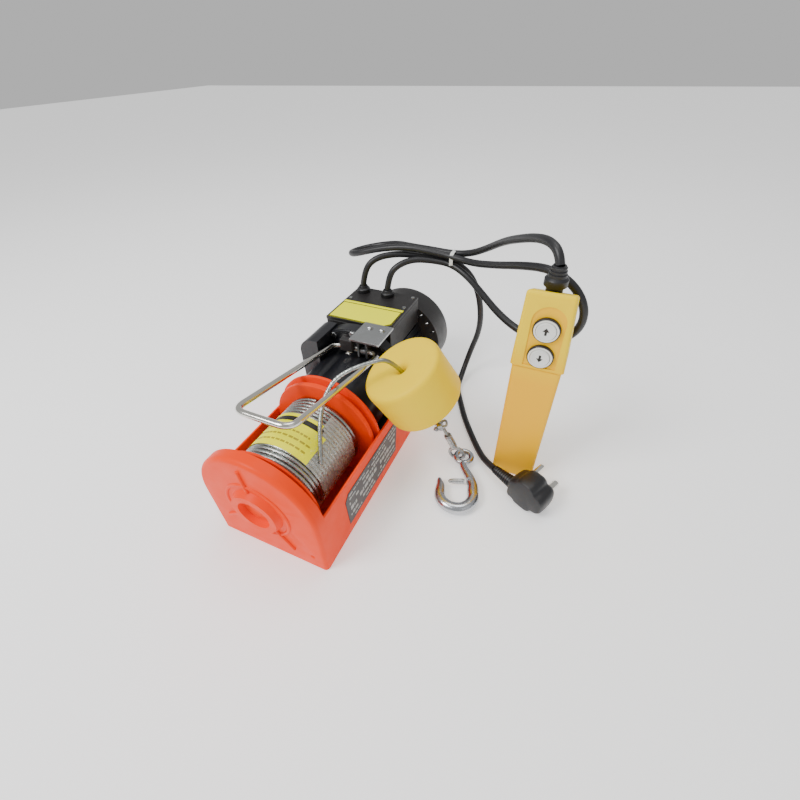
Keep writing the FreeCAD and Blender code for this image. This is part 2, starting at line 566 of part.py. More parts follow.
# ---------------------------------------------------------------- cords
def cord_tube(name, points, radius):
    """A cord of straight runs joined by tangent arcs as large as the runs allow."""
    edges, here, length, radii = [], points[0], 0.0, []
    for before, point, after in zip(points, points[1:], points[2:]):
        arrive, leave = point - before, after - point
        shorter = min(arrive.Length, leave.Length)
        arrive.normalize()
        leave.normalize()
        turn = arrive.getAngle(leave)
        bend = 0.45 * shorter / math.tan(turn / 2)
        start, end = point - arrive * (0.45 * shorter), point + leave * (0.45 * shorter)
        middle = point + (leave - arrive).normalize() * (bend / math.cos(turn / 2) - bend)
        edges += [Part.LineSegment(here, start).toShape(), Part.Arc(start, middle, end).toShape()]
        radii.append(bend)
        here = end
    edges.append(Part.LineSegment(here, points[-1]).toShape())
    path = Part.Wire(edges)
    section = Part.Wire(Part.makeCircle(radius, points[0], points[1] - points[0]))
    solid = path.makePipeShell([section], True, False)
    expected = math.pi * radius ** 2 * path.Length
    print("%s: length %.0f mm, volume/expected %.4f, arc radii %s"
          % (name, path.Length, solid.Volume / expected, " ".join("%.0f" % bend for bend in radii)))
    return keep(name, shaped(name, solid))


WEIGHT_TOP = V(83, 50, 160)
WEIGHT_AXIS = V(0.43, 0.263, -0.864).normalize()
HOOK_EYE = V(158, 83, 9)
THIMBLE_CENTRE = V(148.4, 83, 12.45)
BOX_EXIT = dim("box_top") + dim("lid_thick") + 10
FLOOR = dim("cable_radius") + 0.2


def rope_route():
    """The slack rope: off the drum, over the lever, down through the weight to the thimble."""
    above = WEIGHT_TOP - WEIGHT_AXIS * 14
    below = WEIGHT_TOP + WEIGHT_AXIS * (dim("weight_length") + 16)
    return [V(44.0, -62, 101.7), V(35, -46, 121), V(24, -20, 139), V(24, 4, 154), V(38, 17, 165), V(58, 30, 172),
            above, below, V(144.1, 83, 22.4)]


def mains_route():
    return [V(-48, 213, BOX_EXIT), V(-45, 215.8, 184), V(-31.1, 225.9, 198.3), V(-8.1, 238.9, 202),
            V(18, 248, 201.1), V(46.1, 253, 200.2), V(75, 255.1, 197), V(98.7, 257, 182.6),
            V(113.2, 258.9, 155), V(119.9, 261.1, 118), V(116.2, 271.8, 81.4), V(107.4, 275.1, 49.2),
            V(103.2, 265.6, 26.3), V(102, 246.8, 10.3), V(103.5, 222.7, FLOOR), V(117.9, 194, FLOOR),
            V(134.2, 161.9, FLOOR), V(154.9, 130.1, FLOOR), V(172.9, 104.1, 5.7), V(187, 86, 10),
            V(201, 75, 14)]


def pendant_route():
    return [V(-9, 213, BOX_EXIT), V(-7, 217.2, 181), V(3.8, 225.3, 193.2), V(21.6, 236.1, 199.6),
            V(47, 243.2, 199.2), V(74.9, 245.9, 196.7), V(102.1, 235.6, 187.1), V(131, 209.1, 178),
            V(160.1, 180.2, 171), V(190, 160.1, 165.6), V(218.9, 151.7, 164.5), V(239.1, 146.4, 174.9),
            V(250.9, 141, 192.6), V(252.4, 136.8, 214.1), V(243, 135.9, 233.9), V(225.8, 139.5, 246.9),
            V(205.2, 148.3, 250.6), V(176.6, 169.6, 240.4), V(143, 204.1, 221.9), V(107.2, 235.4, 206.6),
            V(75.1, 245.5, 206.6), V(43.8, 244.2, 210.4), V(6, 241.1, 213.2), V(-34.2, 236.8, 206.3),
            V(-72.5, 233.9, 194.5), V(-91.8, 256.9, 186), V(-84.4, 287.1, 183.5), V(-56.1, 299.4, 188.3),
            V(-26.7, 292.4, 195.9), V(4.2, 269.5, 203.9), V(40, 257.9, 207.8), V(74.3, 255.2, 207.4),
            V(100.1, 250.4, 213.2), V(124.1, 234.7, 229.1), V(148.5, 205, 250.8), V(171, 171.1, 268),
            V(191, 142.1, 281.1), V(205.5, 122.6, 286), V(216, 110.5, 281.5), V(219, 107, 272)]


# ---------------------------------------------------------------- weight, fittings and hook
def weight_and_fittings():
    top, bore = "weight_radius", "weight_bore"
    profile = [(bore, "weight_funnel"), ("weight_bore + 4.5", 0), ("weight_radius - 4", 0), ("weight_radius - 1.2", 1.2),
               (top, 4), (top, "weight_length - 3"), ("weight_radius - 3", "weight_length"), (bore, "weight_length")]
    turn = FreeCAD.Rotation(V(0, 0, 1), WEIGHT_AXIS)
    keep("counterweight", turned("counterweight", profile, (WEIGHT_TOP.x, WEIGHT_TOP.y, WEIGHT_TOP.z), turn))
    cord_tube("rope_run", rope_route(), dim("rope_radius"))
    start, end = rope_route()[-2:]
    along = (end - start).normalize()
    bore_radius = dim("rope_radius")
    ferrule = Part.makeCylinder(5, 24, end - along * 26, along).cut(Part.makeCylinder(bore_radius, 40, end - along * 35, along))
    keep("rope_ferrule", shaped("rope_ferrule", ferrule))
    seat = end - along * 52
    saddle = Part.makeCylinder(7, 11, seat, along).cut(Part.makeCylinder(bore_radius, 20, seat - along * 4, along))
    across = along.cross(V(0, 0, 1)).normalize()
    out = along.cross(across).normalize()
    for side in (-1, 1):
        leg = seat + along * 5.5 + across * (5.2 * side)
        saddle = saddle.fuse(Part.makeCylinder(1.6, 16, leg - out * 4, out))
        saddle = saddle.fuse(Part.makeCylinder(3.2, 3.5, leg + out * 7, out))
    saddle = saddle.cut(Part.makeCylinder(bore_radius, 20, seat - along * 4, along))
    keep("rope_clip", shaped("rope_clip", saddle))
    keep("thimble", shaped("thimble", Part.makeTorus(9.8, 2.4, THIMBLE_CENTRE, V(0, 1, 0))))


def hook_parts():
    """Forged eye hook lying on its side, with a sprung safety latch."""
    bowl, wire, middle = 20.5, 7.4, V(0, -60, 0)
    eye = Part.makeTorus(10, 3.7)
    bend = Part.makeTorus(bowl, wire, middle, V(0, 0, 1), -180, 180, 215)
    bend.rotate(middle, V(0, 0, 1), 165)

    def polar(angle):
        return middle + V(bowl * math.cos(math.radians(angle)), bowl * math.sin(math.radians(angle)), 0)

    shoulder, neck = polar(20), V(1.5, -15, 0)
    elbow = V(14, -34, 0)
    parts = [bend, Part.makeSphere(wire, shoulder)]
    for start, end, first, last in ((shoulder, elbow, wire, 6.2), (elbow, neck, 6.2, 4.6)):
        direction = end - start
        parts.append(Part.makeCone(first, last, direction.Length, start, direction))
    parts += [Part.makeSphere(6.2, elbow), Part.makeSphere(4.6, neck)]
    tip = polar(165)
    rise = V(-0.32, 0.9, 0).normalize()
    parts += [Part.makeSphere(wire, tip), Part.makeCone(wire, 2.2, 15, tip, rise), Part.makeSphere(2.2, tip + rise * 15)]
    solid = eye.fuse(parts).removeSplitter()
    lie = FreeCAD.Placement(HOOK_EYE, FreeCAD.Rotation(V(0, 0, 1), 9) * FreeCAD.Rotation(V(1, 0, 0), 1.0))
    keep("hook", shaped("hook", solid, lie))
    pivot = V(9.5, -38.5, 0)
    reach = V(-19.5, -44.5, 0) - pivot
    length = 22.6
    latch = Part.makeBox(length - 2.4, 2.0, 7.5, V(2.4, -1, -3.75))
    latch.rotate(V(), V(0, 0, 1), math.degrees(math.atan2(reach.y, reach.x)))
    latch.translate(pivot)
    latch = latch.cut(solid)
    keep("hook_latch", shaped("hook_latch", max(latch.Solids, key=lambda item: item.Volume), lie))


# ---------------------------------------------------------------- handset
def rounded_edges(name, base, radius, bottom):
    """A moulding with its outer edges rounded; only its bottom face keeps sharp edges."""
    doc.recompute()
    low = number_of(bottom)
    fillet = doc.addObject("Part::Fillet", name)
    fillet.Base = base
    fillet.Edges = [(number, radius, radius) for number, edge in enumerate(base.Shape.Edges, start=1)
                    if edge.BoundBox.ZMax > low + 1]
    return fillet


def handset_parts():
    """Two-button pendant handset standing on its lower end."""
    grip_front = "handset_front + 2"
    left, right = "handset_x - grip_width / 2", "handset_x + grip_width / 2"
    split = "handset_front + 26"
    grip = prism("handset_grip", [(left, grip_front), (right, grip_front), (right, "handset_front + 2 + grip_depth"),
                                  (left, "handset_front + 2 + grip_depth")], (0, 0, 0), None, "grip_top")
    taper = [("handset_x - head_width / 2", "grip_top"), ("handset_x + head_width / 2", "grip_top"),
             ("handset_x + head_width / 2 - 6.5", "head_top"), ("handset_x - head_width / 2 + 3", "head_top")]
    tapered = prism("head_blank", taper, (0, "handset_front + head_depth", 0), FreeCAD.Rotation(V(1, 0, 0), 90), "head_depth")
    slope = prism("head_slope", [("handset_front - 2", "head_top"), ("handset_front + head_depth + 2", "head_top - 21.8"),
                                 ("handset_front + head_depth + 2", "head_top + 5"), ("handset_front - 2", "head_top + 5")],
                  ("handset_x - head_width", 0, 0), FreeCAD.Rotation(V(1, 1, 1), 120), "head_width * 2")
    head = rounded_edges("handset_head", cut("head_sloped", tapered, slope), 3.5, "grip_top")
    grip = rounded_edges("handset_grip_rounded", grip, 4.0, "-2")
    outer = fuse("handset_outer", grip, head)
    hollow = fuse("handset_hollow",
                  block("grip_hollow", ("handset_x - grip_width / 2 + shell_wall", "handset_front + 2 + shell_wall", "shell_wall"),
                        ("handset_x + grip_width / 2 - shell_wall", "handset_front + 2 + grip_depth - shell_wall", "grip_top")),
                  block("head_hollow", ("handset_x - head_width / 2 + 6", "handset_front + shell_wall + 1.2", "grip_top - 0.5"),
                        ("handset_x + head_width / 2 - 8", "handset_front + head_depth - shell_wall", "head_top - 25")))
    pocket = fuse("panel_pocket", block("pocket_low", ("handset_x - 14.5", "handset_front - 3", "grip_top + 2.9"),
                                        ("handset_x + 17.5", "handset_front + 1.2", "button_up_z + 8")),
                  rod("pocket_arch", 16, ("handset_x + 1.5", "handset_front - 3", "button_up_z + 8"), 4.2))
    boot_way = rod("boot_way", 8, ("handset_x - 2", "handset_front + 23", "head_top - 30"), 40, "z")
    button_ways = [rod("button_way", "button_radius + 0.3", ("handset_x + 1", "handset_front - 5", z), 12)
                   for z in ("button_up_z", "button_down_z")]
    shell = cut("handset_shell", outer, hollow, pocket, boot_way, *button_ways)
    halves = (("handset_front_shell", "handset_front - 10", split), ("handset_rear_shell", split, "handset_front + 60"))
    for name, start, end in halves:
        half = doc.addObject("Part::Common", name)
        half.Base = shell
        half.Tool = block(name + "_room", ("handset_x - 60", start, -5), ("handset_x + 60", end, 300))
        keep(name, half)
    for name, z in (("button_up", "button_up_z"), ("button_down", "button_down_z")):
        cap = rod(name + "_cap", "button_radius", ("handset_x + 1", "handset_front - 4.5", z), 12)
        stem = rod(name + "_stem", 3, ("handset_x + 1", "handset_front + 7.5", z), 3)
        keep(name, fuse(name, cap, stem))
    collars = []
    for z in ("button_up_z", "button_down_z"):
        collars.append(ring("button_collar", "collar_radius", "button_radius + 0.3", "handset_front - 2.5", 3.7,
                            "handset_x + 1", z))
    group("button_collars", *collars)
    keep("switch_block", block("switch_block", ("handset_x - 14", "handset_front + 15", "grip_top + 4"),
                               ("handset_x + 16", "handset_front + 36", "head_top - 31")))
    keep("handset_boot", turned("handset_boot", [
        (4.4, -24), (8, -24), (8, -4), (11, -4), (11, 3), (8.5, 5), (6.4, 15), (4.4, 15)],
        ("handset_x - 2", "handset_front + 23", "head_top")))


# ---------------------------------------------------------------- plug and tie
def plug_parts():
    """Round-pin mains plug lying on the floor, with its strain relief."""
    entry = mains_route()[-1]
    heading = math.degrees(math.atan2(-27, 55))
    lie = FreeCAD.Placement(V(entry.x, entry.y, 0), FreeCAD.Rotation(V(0, 0, 1), heading))
    collar = Part.makeCone(5.2, 8.5, 30, V(0, 0, entry.z), V(1, 0, 0))
    keep("plug_collar", shaped("plug_collar", collar, lie))
    body = Part.makeBox(48, 30, 44, V(30, -14, 0.2))
    corners = [edge for edge in body.Edges if edge.BoundBox.YLength > 29]
    body = body.makeFillet(10, corners)
    keep("plug_body", shaped("plug_body", body, lie))
    pins = [Part.makeCylinder(radius, 18, V(x, 16, z), V(0, 1, 0))
            for x, z, radius in ((66, 22, 4.3), (44, 12, 3.4), (44, 33, 3.4))]
    keep("plug_pins", shaped("plug_pins", Part.makeCompound(pins), lie))
    outer = Part.makeBox(5, 21.4, 22, V(72.5, 239.8, 190.8))
    inner = Part.makeBox(7, 18.6, 19.2, V(71.5, 241.2, 192.2))
    keep("cable_tie", shaped("cable_tie", outer.cut(inner)))


frame_parts()
drum_parts()
gear_train()
gear_cases()
motor_parts()
terminal_box()
lever_parts()
weight_and_fittings()
hook_parts()
handset_parts()
cord_tube("mains_cable", mains_route(), dim("cable_radius"))
cord_tube("pendant_cable", pendant_route(), dim("cable_radius"))
plug_parts()

# ---------------------------------------------------------------- checks and output
doc.recompute()
faults = [thing.Name for thing in doc.Objects if "Invalid" in thing.State or "Error" in thing.State]
if faults:
    raise SystemExit("failed objects: " + ", ".join(faults))
for name, thing in pieces:
    shape = thing.Shape
    if shape.isNull() or not shape.isValid() or not shape.Solids:
        raise SystemExit("bad shape: " + name)
os.makedirs("parts", exist_ok=True)
for name, thing in pieces:
    thing.Shape.exportStep(os.path.join("parts", name + ".step"))
print(len(pieces), "sub-parts, volume", round(sum(thing.Shape.Volume for name, thing in pieces) / 1000), "cm3")
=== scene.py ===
import json
import math
import random

import bmesh
import bpy
from mathutils import Matrix, Vector

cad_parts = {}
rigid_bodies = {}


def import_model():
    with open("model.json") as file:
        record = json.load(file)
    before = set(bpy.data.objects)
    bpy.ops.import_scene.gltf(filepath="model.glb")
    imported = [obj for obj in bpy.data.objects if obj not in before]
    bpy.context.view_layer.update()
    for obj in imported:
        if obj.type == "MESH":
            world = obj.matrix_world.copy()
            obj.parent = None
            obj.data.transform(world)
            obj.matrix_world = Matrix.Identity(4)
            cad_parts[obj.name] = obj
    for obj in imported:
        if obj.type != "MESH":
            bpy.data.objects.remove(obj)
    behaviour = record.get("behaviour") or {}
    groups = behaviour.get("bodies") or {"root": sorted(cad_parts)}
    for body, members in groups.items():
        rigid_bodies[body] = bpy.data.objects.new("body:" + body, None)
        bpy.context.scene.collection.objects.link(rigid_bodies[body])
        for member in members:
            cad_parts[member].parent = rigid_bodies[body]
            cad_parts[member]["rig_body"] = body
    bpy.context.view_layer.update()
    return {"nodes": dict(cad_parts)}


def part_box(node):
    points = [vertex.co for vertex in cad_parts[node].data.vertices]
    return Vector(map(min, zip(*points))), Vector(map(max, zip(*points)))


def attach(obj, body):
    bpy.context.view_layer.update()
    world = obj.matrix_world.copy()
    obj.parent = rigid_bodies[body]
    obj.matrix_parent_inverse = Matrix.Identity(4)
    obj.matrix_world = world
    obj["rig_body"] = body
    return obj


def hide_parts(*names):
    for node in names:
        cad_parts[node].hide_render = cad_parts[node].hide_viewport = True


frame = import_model()

# sizes and places in millimetres, in the frame's own axes
MM = 0.001
RADIUS_LEAD = 4.4
RADIUS_ROPE = 2.5
AXIS_HEIGHT = 72.6
DRUM_LABEL_RADIUS = 50.2
CASE_X, CASE_Z = -8, 90
BRACKET_BOLTS = ((13, 116), (30, 116))
HANDSET_FRONT = 84.0
BUTTON_X = 222
BUTTON_HEIGHTS = (218, 188)
HOOK_EYE = (158, 83, 9)
THIMBLE_CENTRE = Vector((148.4, 83, 12.45))


def mm(*values):
    """A point given in millimetres."""
    return Vector(values) * MM


# ---------------------------------------------------------------- camera
CAMERA_ANGLES = (25.5476, 41.3211, -1.9926)
CAMERA_PLACE = (236.26, -270.93, 424.24)
CAMERA_LENS = 18.22


def make_camera():
    """The fitted view: the hoist lies across the picture, the front end plate towards the lower left."""
    turn, pitch, roll = (math.radians(angle) for angle in CAMERA_ANGLES)
    right = Vector((math.cos(turn), math.sin(turn), 0))
    back = Vector((math.sin(turn) * math.cos(pitch), -math.cos(turn) * math.cos(pitch), math.sin(pitch)))
    up = back.cross(right)
    across = right * math.cos(roll) + up * math.sin(roll)
    above = up * math.cos(roll) - right * math.sin(roll)
    data = bpy.data.cameras.new("camera")
    data.sensor_width = 36
    data.lens = CAMERA_LENS
    data.clip_start = 0.01
    camera = bpy.data.objects.new("camera", data)
    bpy.context.scene.collection.objects.link(camera)
    turned = Matrix((across, above, back)).transposed().to_4x4()
    camera.matrix_world = Matrix.Translation(mm(*CAMERA_PLACE)) @ turned
    bpy.context.scene.camera = camera


make_camera()

# ---------------------------------------------------------------- cord routes, in millimetres
LEAD_FLOOR = 4.6
MAINS_ROUTE = [
    (-48, 213, 160), (-45, 215.8, 184), (-31.1, 225.9, 198.3), (-8.1, 238.9, 202), (18, 248, 201.1),
    (46.1, 253, 200.2), (75, 255.1, 197), (98.7, 257, 182.6), (113.2, 258.9, 155), (119.9, 261.1, 118),
    (116.2, 271.8, 81.4), (107.4, 275.1, 49.2), (103.2, 265.6, 26.3), (102, 246.8, 10.3),
    (103.5, 222.7, LEAD_FLOOR), (117.9, 194, LEAD_FLOOR), (134.2, 161.9, LEAD_FLOOR),
    (154.9, 130.1, LEAD_FLOOR), (172.9, 104.1, 5.7), (187, 86, 10), (201, 75, 14)]
PENDANT_ROUTE = [
    (-9, 213, 160), (-7, 217.2, 181), (3.8, 225.3, 193.2), (21.6, 236.1, 199.6), (47, 243.2, 199.2),
    (74.9, 245.9, 196.7), (102.1, 235.6, 187.1), (131, 209.1, 178), (160.1, 180.2, 171), (190, 160.1, 165.6),
    (218.9, 151.7, 164.5), (239.1, 146.4, 174.9), (250.9, 141, 192.6), (252.4, 136.8, 214.1),
    (243, 135.9, 233.9), (225.8, 139.5, 246.9), (205.2, 148.3, 250.6), (176.6, 169.6, 240.4),
    (143, 204.1, 221.9), (107.2, 235.4, 206.6), (75.1, 245.5, 206.6), (43.8, 244.2, 210.4), (6, 241.1, 213.2),
    (-34.2, 236.8, 206.3), (-72.5, 233.9, 194.5), (-91.8, 256.9, 186), (-84.4, 287.1, 183.5),
    (-56.1, 299.4, 188.3), (-26.7, 292.4, 195.9), (4.2, 269.5, 203.9), (40, 257.9, 207.8),
    (74.3, 255.2, 207.4), (100.1, 250.4, 213.2), (124.1, 234.7, 229.1), (148.5, 205, 250.8),
    (171, 171.1, 268), (191, 142.1, 281.1), (205.5, 122.6, 286), (216, 110.5, 281.5), (219, 107, 272)]
WEIGHT_TOP = Vector((83, 50, 160))
WEIGHT_AXIS = Vector((0.43, 0.263, -0.864)).normalized()
WEIGHT_LENGTH = 61.0
ROPE_ROUTE = [
    (44, -62, 101.7), (35, -46, 121), (24, -20, 139), (24, 4, 154), (38, 17, 165), (58, 30, 172),
    tuple(WEIGHT_TOP - WEIGHT_AXIS * 14), tuple(WEIGHT_TOP + WEIGHT_AXIS * (WEIGHT_LENGTH + 16)),
    (144.1, 83, 22.4)]


def nurbs(name, route, radius=0.0):
    """One NURBS spline through the route's control points."""
    data = bpy.data.curves.new(name, "CURVE")
    data.dimensions = "3D"
    data.resolution_u = 10
    data.bevel_depth = radius * MM
    data.bevel_resolution = 5
    data.use_fill_caps = True
    spline = data.splines.new("NURBS")
    spline.points.add(len(route) - 1)
    for point, place in zip(spline.points, route):
        point.co = (*mm(*place), 1.0)
    spline.order_u = 3
    spline.use_endpoint_u = True
    curve = bpy.data.objects.new(name, data)
    bpy.context.scene.collection.objects.link(curve)
    return curve


def centreline(curve):
    """The points of an unbevelled curve, in metres."""
    bpy.context.view_layer.update()
    mesh = bpy.data.meshes.new_from_object(curve)
    points = [vertex.co.copy() for vertex in mesh.vertices]
    bpy.data.meshes.remove(mesh)
    return points


# ---------------------------------------------------------------- materials
def srgb(red, green, blue):
    """A colour given as it looks on screen, 0 to 255."""
    def linear(value):
        value /= 255
        return value / 12.92 if value <= 0.04045 else ((value + 0.055) / 1.055) ** 2.4
    return (linear(red), linear(green), linear(blue), 1.0)


def surface(name, colour, rough, metal=0.0, grain=0.15, grain_scale=900, wear=0.15, wear_scale=60,
            patch=None, shine=0.5):
    """A finish with a fine grain, uneven gloss and, with patch, a second tone in soft patches."""
    material = bpy.data.materials.new(name)
    material.use_nodes = True
    nodes, links = material.node_tree.nodes, material.node_tree.links
    shader = nodes["Principled BSDF"]
    shader.inputs["Base Color"].default_value = colour
    shader.inputs["Metallic"].default_value = metal
    shader.inputs["Roughness"].default_value = rough
    shader.inputs["Specular IOR Level"].default_value = shine
    where = nodes.new("ShaderNodeTexCoord")
    fine = nodes.new("ShaderNodeTexNoise")
    fine.inputs["Scale"].default_value = grain_scale
    fine.inputs["Detail"].default_value = 4
    links.new(where.outputs["Object"], fine.inputs["Vector"])
    bump = nodes.new("ShaderNodeBump")
    bump.inputs["Strength"].default_value = grain
    bump.inputs["Distance"].default_value = 0.0004
    links.new(fine.outputs["Fac"], bump.inputs["Height"])
    links.new(bump.outputs["Normal"], shader.inputs["Normal"])
    broad = nodes.new("ShaderNodeTexNoise")
    broad.inputs["Scale"].default_value = wear_scale
    broad.inputs["Detail"].default_value = 5
    links.new(where.outputs["Object"], broad.inputs["Vector"])
    gloss = nodes.new("ShaderNodeMapRange")
    gloss.inputs["To Min"].default_value = max(0.02, rough - wear)
    gloss.inputs["To Max"].default_value = min(1.0, rough + wear)
    links.new(broad.outputs["Fac"], gloss.inputs["Value"])
    links.new(gloss.outputs["Result"], shader.inputs["Roughness"])
    if patch:
        blend = nodes.new("ShaderNodeMix")
        blend.data_type = "RGBA"
        blend.inputs["A"].default_value = colour
        blend.inputs["B"].default_value = patch
        links.new(broad.outputs["Fac"], blend.inputs["Factor"])
        links.new(blend.outputs["Result"], shader.inputs["Base Color"])
    return material


def shade_painted_by_height(material, low, high, shaded_colour, lit_colour):
    """Tints a material between two heights as painted shade: more orange low down, lighter yellow higher up,
    as the light falls from above.
    """
    nodes, links = material.node_tree.nodes, material.node_tree.links
    where = nodes.new("ShaderNodeTexCoord")
    split = nodes.new("ShaderNodeSeparateXYZ")
    ramp = nodes.new("ShaderNodeMapRange")
    ramp.inputs["From Min"].default_value = low * MM
    ramp.inputs["From Max"].default_value = high * MM
    blend = nodes.new("ShaderNodeMix")
    blend.data_type = "RGBA"
    blend.inputs["A"].default_value = shaded_colour
    blend.inputs["B"].default_value = lit_colour
    links.new(where.outputs["Object"], split.inputs["Vector"])
    links.new(split.outputs["Z"], ramp.inputs["Value"])
    links.new(ramp.outputs["Result"], blend.inputs["Factor"])
    links.new(blend.outputs["Result"], nodes["Principled BSDF"].inputs["Base Color"])
    return material


def clear_film():
    """Thin crinkled wrapping film."""
    material = surface("clear_film", srgb(235, 235, 225), 0.08, grain=0.5, grain_scale=120, wear=0.05)
    material.node_tree.nodes["Principled BSDF"].inputs["Alpha"].default_value = 0.22
    return material


PAINT = surface("frame_paint", (1.0, 0.058, 0.0, 1), 0.42, grain=0.10, grain_scale=700,
                patch=(0.95, 0.046, 0.0, 1), shine=0.12)
CASE = surface("case_black", srgb(30, 31, 36), 0.34, grain=0.5, grain_scale=260, patch=srgb(18, 19, 24))
BLACK_PLASTIC = surface("black_plastic", srgb(34, 32, 32), 0.42, grain=0.25, grain_scale=1500)
RUBBER = surface("black_rubber", srgb(27, 27, 30), 0.42, grain=0.2, grain_scale=1200, wear=0.08)
STEEL = surface("machined_steel", srgb(170, 172, 176), 0.3, 1.0, grain=0.12)
ZINC = surface("zinc_plate", srgb(196, 198, 200), 0.3, 1.0, grain=0.5, grain_scale=300, wear=0.22,
               patch=srgb(150, 152, 150))
CHROME = surface("bright_plate", srgb(214, 212, 205), 0.16, 1.0, grain=0.05, wear=0.08)
HOOK_STEEL = surface("forged_plate", srgb(200, 203, 208), 0.24, 1.0, grain=0.7, grain_scale=220, wear=0.18,
                     patch=srgb(165, 168, 172))
ROPE_STEEL = surface("rope_steel", srgb(196, 200, 196), 0.30, 1.0, grain=0.8, grain_scale=900, wear=0.2,
                     patch=srgb(96, 102, 100))
BRONZE = surface("bronze", srgb(176, 126, 62), 0.35, 1.0, grain=0.3)
COPPER = surface("copper_winding", srgb(176, 96, 50), 0.4, 1.0, grain=0.6, grain_scale=1400)
LAMINATION = surface("lamination", srgb(120, 122, 126), 0.5, 1.0, grain=0.5, grain_scale=1500)
WEIGHT_PAINT = surface("weight_paint", (1.0, 0.72, 0.0, 1), 0.5, grain=0.10, grain_scale=150, wear=0.1,
                       patch=(1.0, 0.66, 0.0, 1), shine=0.2)
# painted shade: the handset's yellow is more orange lower down and lighter near the top
YELLOW = shade_painted_by_height(surface("handset_yellow", (1.0, 0.66, 0.0, 1), 0.45, grain=0.08, shine=0.2),
                      150, 200, (1.0, 0.52, 0.0, 1), (1.0, 0.70, 0.0, 1))
PANEL = surface("handset_panel", (1.0, 0.56, 0.0, 1), 0.5, grain=0.15, shine=0.2)
WHITE = surface("white_plastic", srgb(232, 234, 230), 0.35, grain=0.1)
LABEL_YELLOW = surface("label_yellow", (0.95, 0.94, 0.0, 1), 0.5, grain=0.05, shine=0.2)
LABEL_BLACK = surface("label_black", srgb(24, 22, 14), 0.5, grain=0.05)
SLATE = surface("label_slate", srgb(62, 68, 72), 0.45, grain=0.1, patch=srgb(52, 58, 62))
PRINT = surface("label_print", srgb(176, 180, 178), 0.5, grain=0.05)
FADED_PRINT = surface("faded_print", (0.42, 0.34, 0.0, 1), 0.5)
FILM = clear_film()


# ---------------------------------------------------------------- mesh tools
def build(name, shape, material, body, angle=38.0, replaces=()):
    """A piece from (vertices in metres, faces) that rides on a body."""
    verts, faces = shape
    mesh = bpy.data.meshes.new(name)
    mesh.from_pydata([tuple(v) for v in verts], [], faces)
    mesh.materials.append(material)
    cleaned = bmesh.new()
    cleaned.from_mesh(mesh)
    bmesh.ops.recalc_face_normals(cleaned, faces=cleaned.faces)
    cleaned.to_mesh(mesh)
    cleaned.free()
    shade(mesh, angle)
    piece = bpy.data.objects.new(name, mesh)
    bpy.context.scene.collection.objects.link(piece)
    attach(piece, body)
    if replaces:
        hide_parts(*replaces)
    return piece


def shade(mesh, angle):
    mesh.polygons.foreach_set("use_smooth", [True] * len(mesh.polygons))
    mesh.set_sharp_from_angle(angle=math.radians(angle))


def joined(*shapes):
    """Several shapes as one."""
    verts, faces = [], []
    for part_verts, part_faces in shapes:
        start = len(verts)
        verts += part_verts
        faces += [[start + index for index in face] for face in part_faces]
    return verts, faces


def placed(shape, matrix):
    verts, faces = shape
    return [matrix @ Vector(v) for v in verts], faces


def skin(rings, around, closed=False):
    """Faces between rings of points that follow each other; the ends are capped unless it closes."""
    faces = []
    for ring in range(rings if closed else rings - 1):
        here, there = ring * around, (ring + 1) % rings * around
        for k in range(around):
            n = (k + 1) % around
            faces.append([here + k, here + n, there + n, there + k])
    if not closed:
        last = (rings - 1) * around
        faces.append(list(reversed(range(around))))
        faces.append([last + k for k in range(around)])
    return faces


def smooth_path(knots, per=8):
    """Catmull-Rom points through knots of any number of values."""
    out = []
    for index in range(len(knots) - 1):
        p0 = knots[max(index - 1, 0)]
        p1, p2 = knots[index], knots[index + 1]
        p3 = knots[min(index + 2, len(knots) - 1)]
        for step in range(per):
            t = step / per
            out.append(tuple(0.5 * (2 * b + (c - a) * t + (2 * a - 5 * b + 4 * c - d) * t * t
                                    + (3 * b - a - 3 * c + d) * t ** 3)
                             for a, b, c, d in zip(p0, p1, p2, p3)))
    out.append(tuple(knots[-1]))
    return out


def sweep(path, section, closed=False, normal=None):
    """A tube along a path; section(index) gives the offsets round it in the path's own frame."""
    count = len(path)
    path = [Vector(p) for p in path]
    tangents = []
    for index in range(count):
        if closed:
            tangents.append((path[(index + 1) % count] - path[index - 1]).normalized())
        else:
            tangents.append((path[min(index + 1, count - 1)] - path[max(index - 1, 0)]).normalized())
    side = normal or (Vector((0, 0, 1)) if abs(tangents[0].z) < 0.9 else Vector((1, 0, 0)))
    verts = []
    for index in range(count):
        tangent = tangents[index]
        side = (side - tangent * side.dot(tangent)).normalized()
        other = tangent.cross(side)
        verts += [path[index] + side * a + other * b for a, b in section(index)]
    return verts, skin(count, len(section(0)), closed)


def circle(radius, around=16, flat=1.0):
    """Offsets of a round or flattened section, in metres."""
    turns = [2 * math.pi * k / around for k in range(around)]
    return [(radius * flat * MM * math.cos(turn), radius * MM * math.sin(turn)) for turn in turns]


def rounded_tube(path, radius, around=16):
    offsets = circle(radius, around)
    return sweep(path, lambda index: offsets)


def lathe(profile, matrix, around=64, closed=False):
    """A shape turned about Z from (radius, height) in millimetres, with capped ends or a closed profile."""
    verts = []
    for radius, height in profile:
        for k in range(around):
            turn = 2 * math.pi * k / around
            verts.append(matrix @ mm(radius * math.cos(turn), radius * math.sin(turn), height))
    return verts, skin(len(profile), around, closed)


def ring_lathe(profile, matrix, around=64):
    """A shape turned about Z from a closed profile."""
    return lathe(profile, matrix, around, True)


def turned_to(place, degrees, axis="X"):
    """A matrix at a place in millimetres, turned about one of its axes."""
    return Matrix.Translation(mm(*place)) @ Matrix.Rotation(math.radians(degrees), 4, axis)


def toward(place, axis):
    """A matrix that puts local Z along an axis at a place, in millimetres."""
    turn = Vector(axis).to_track_quat("Z", "Y").to_matrix().to_4x4()
    return Matrix.Translation(mm(*place)) @ turn


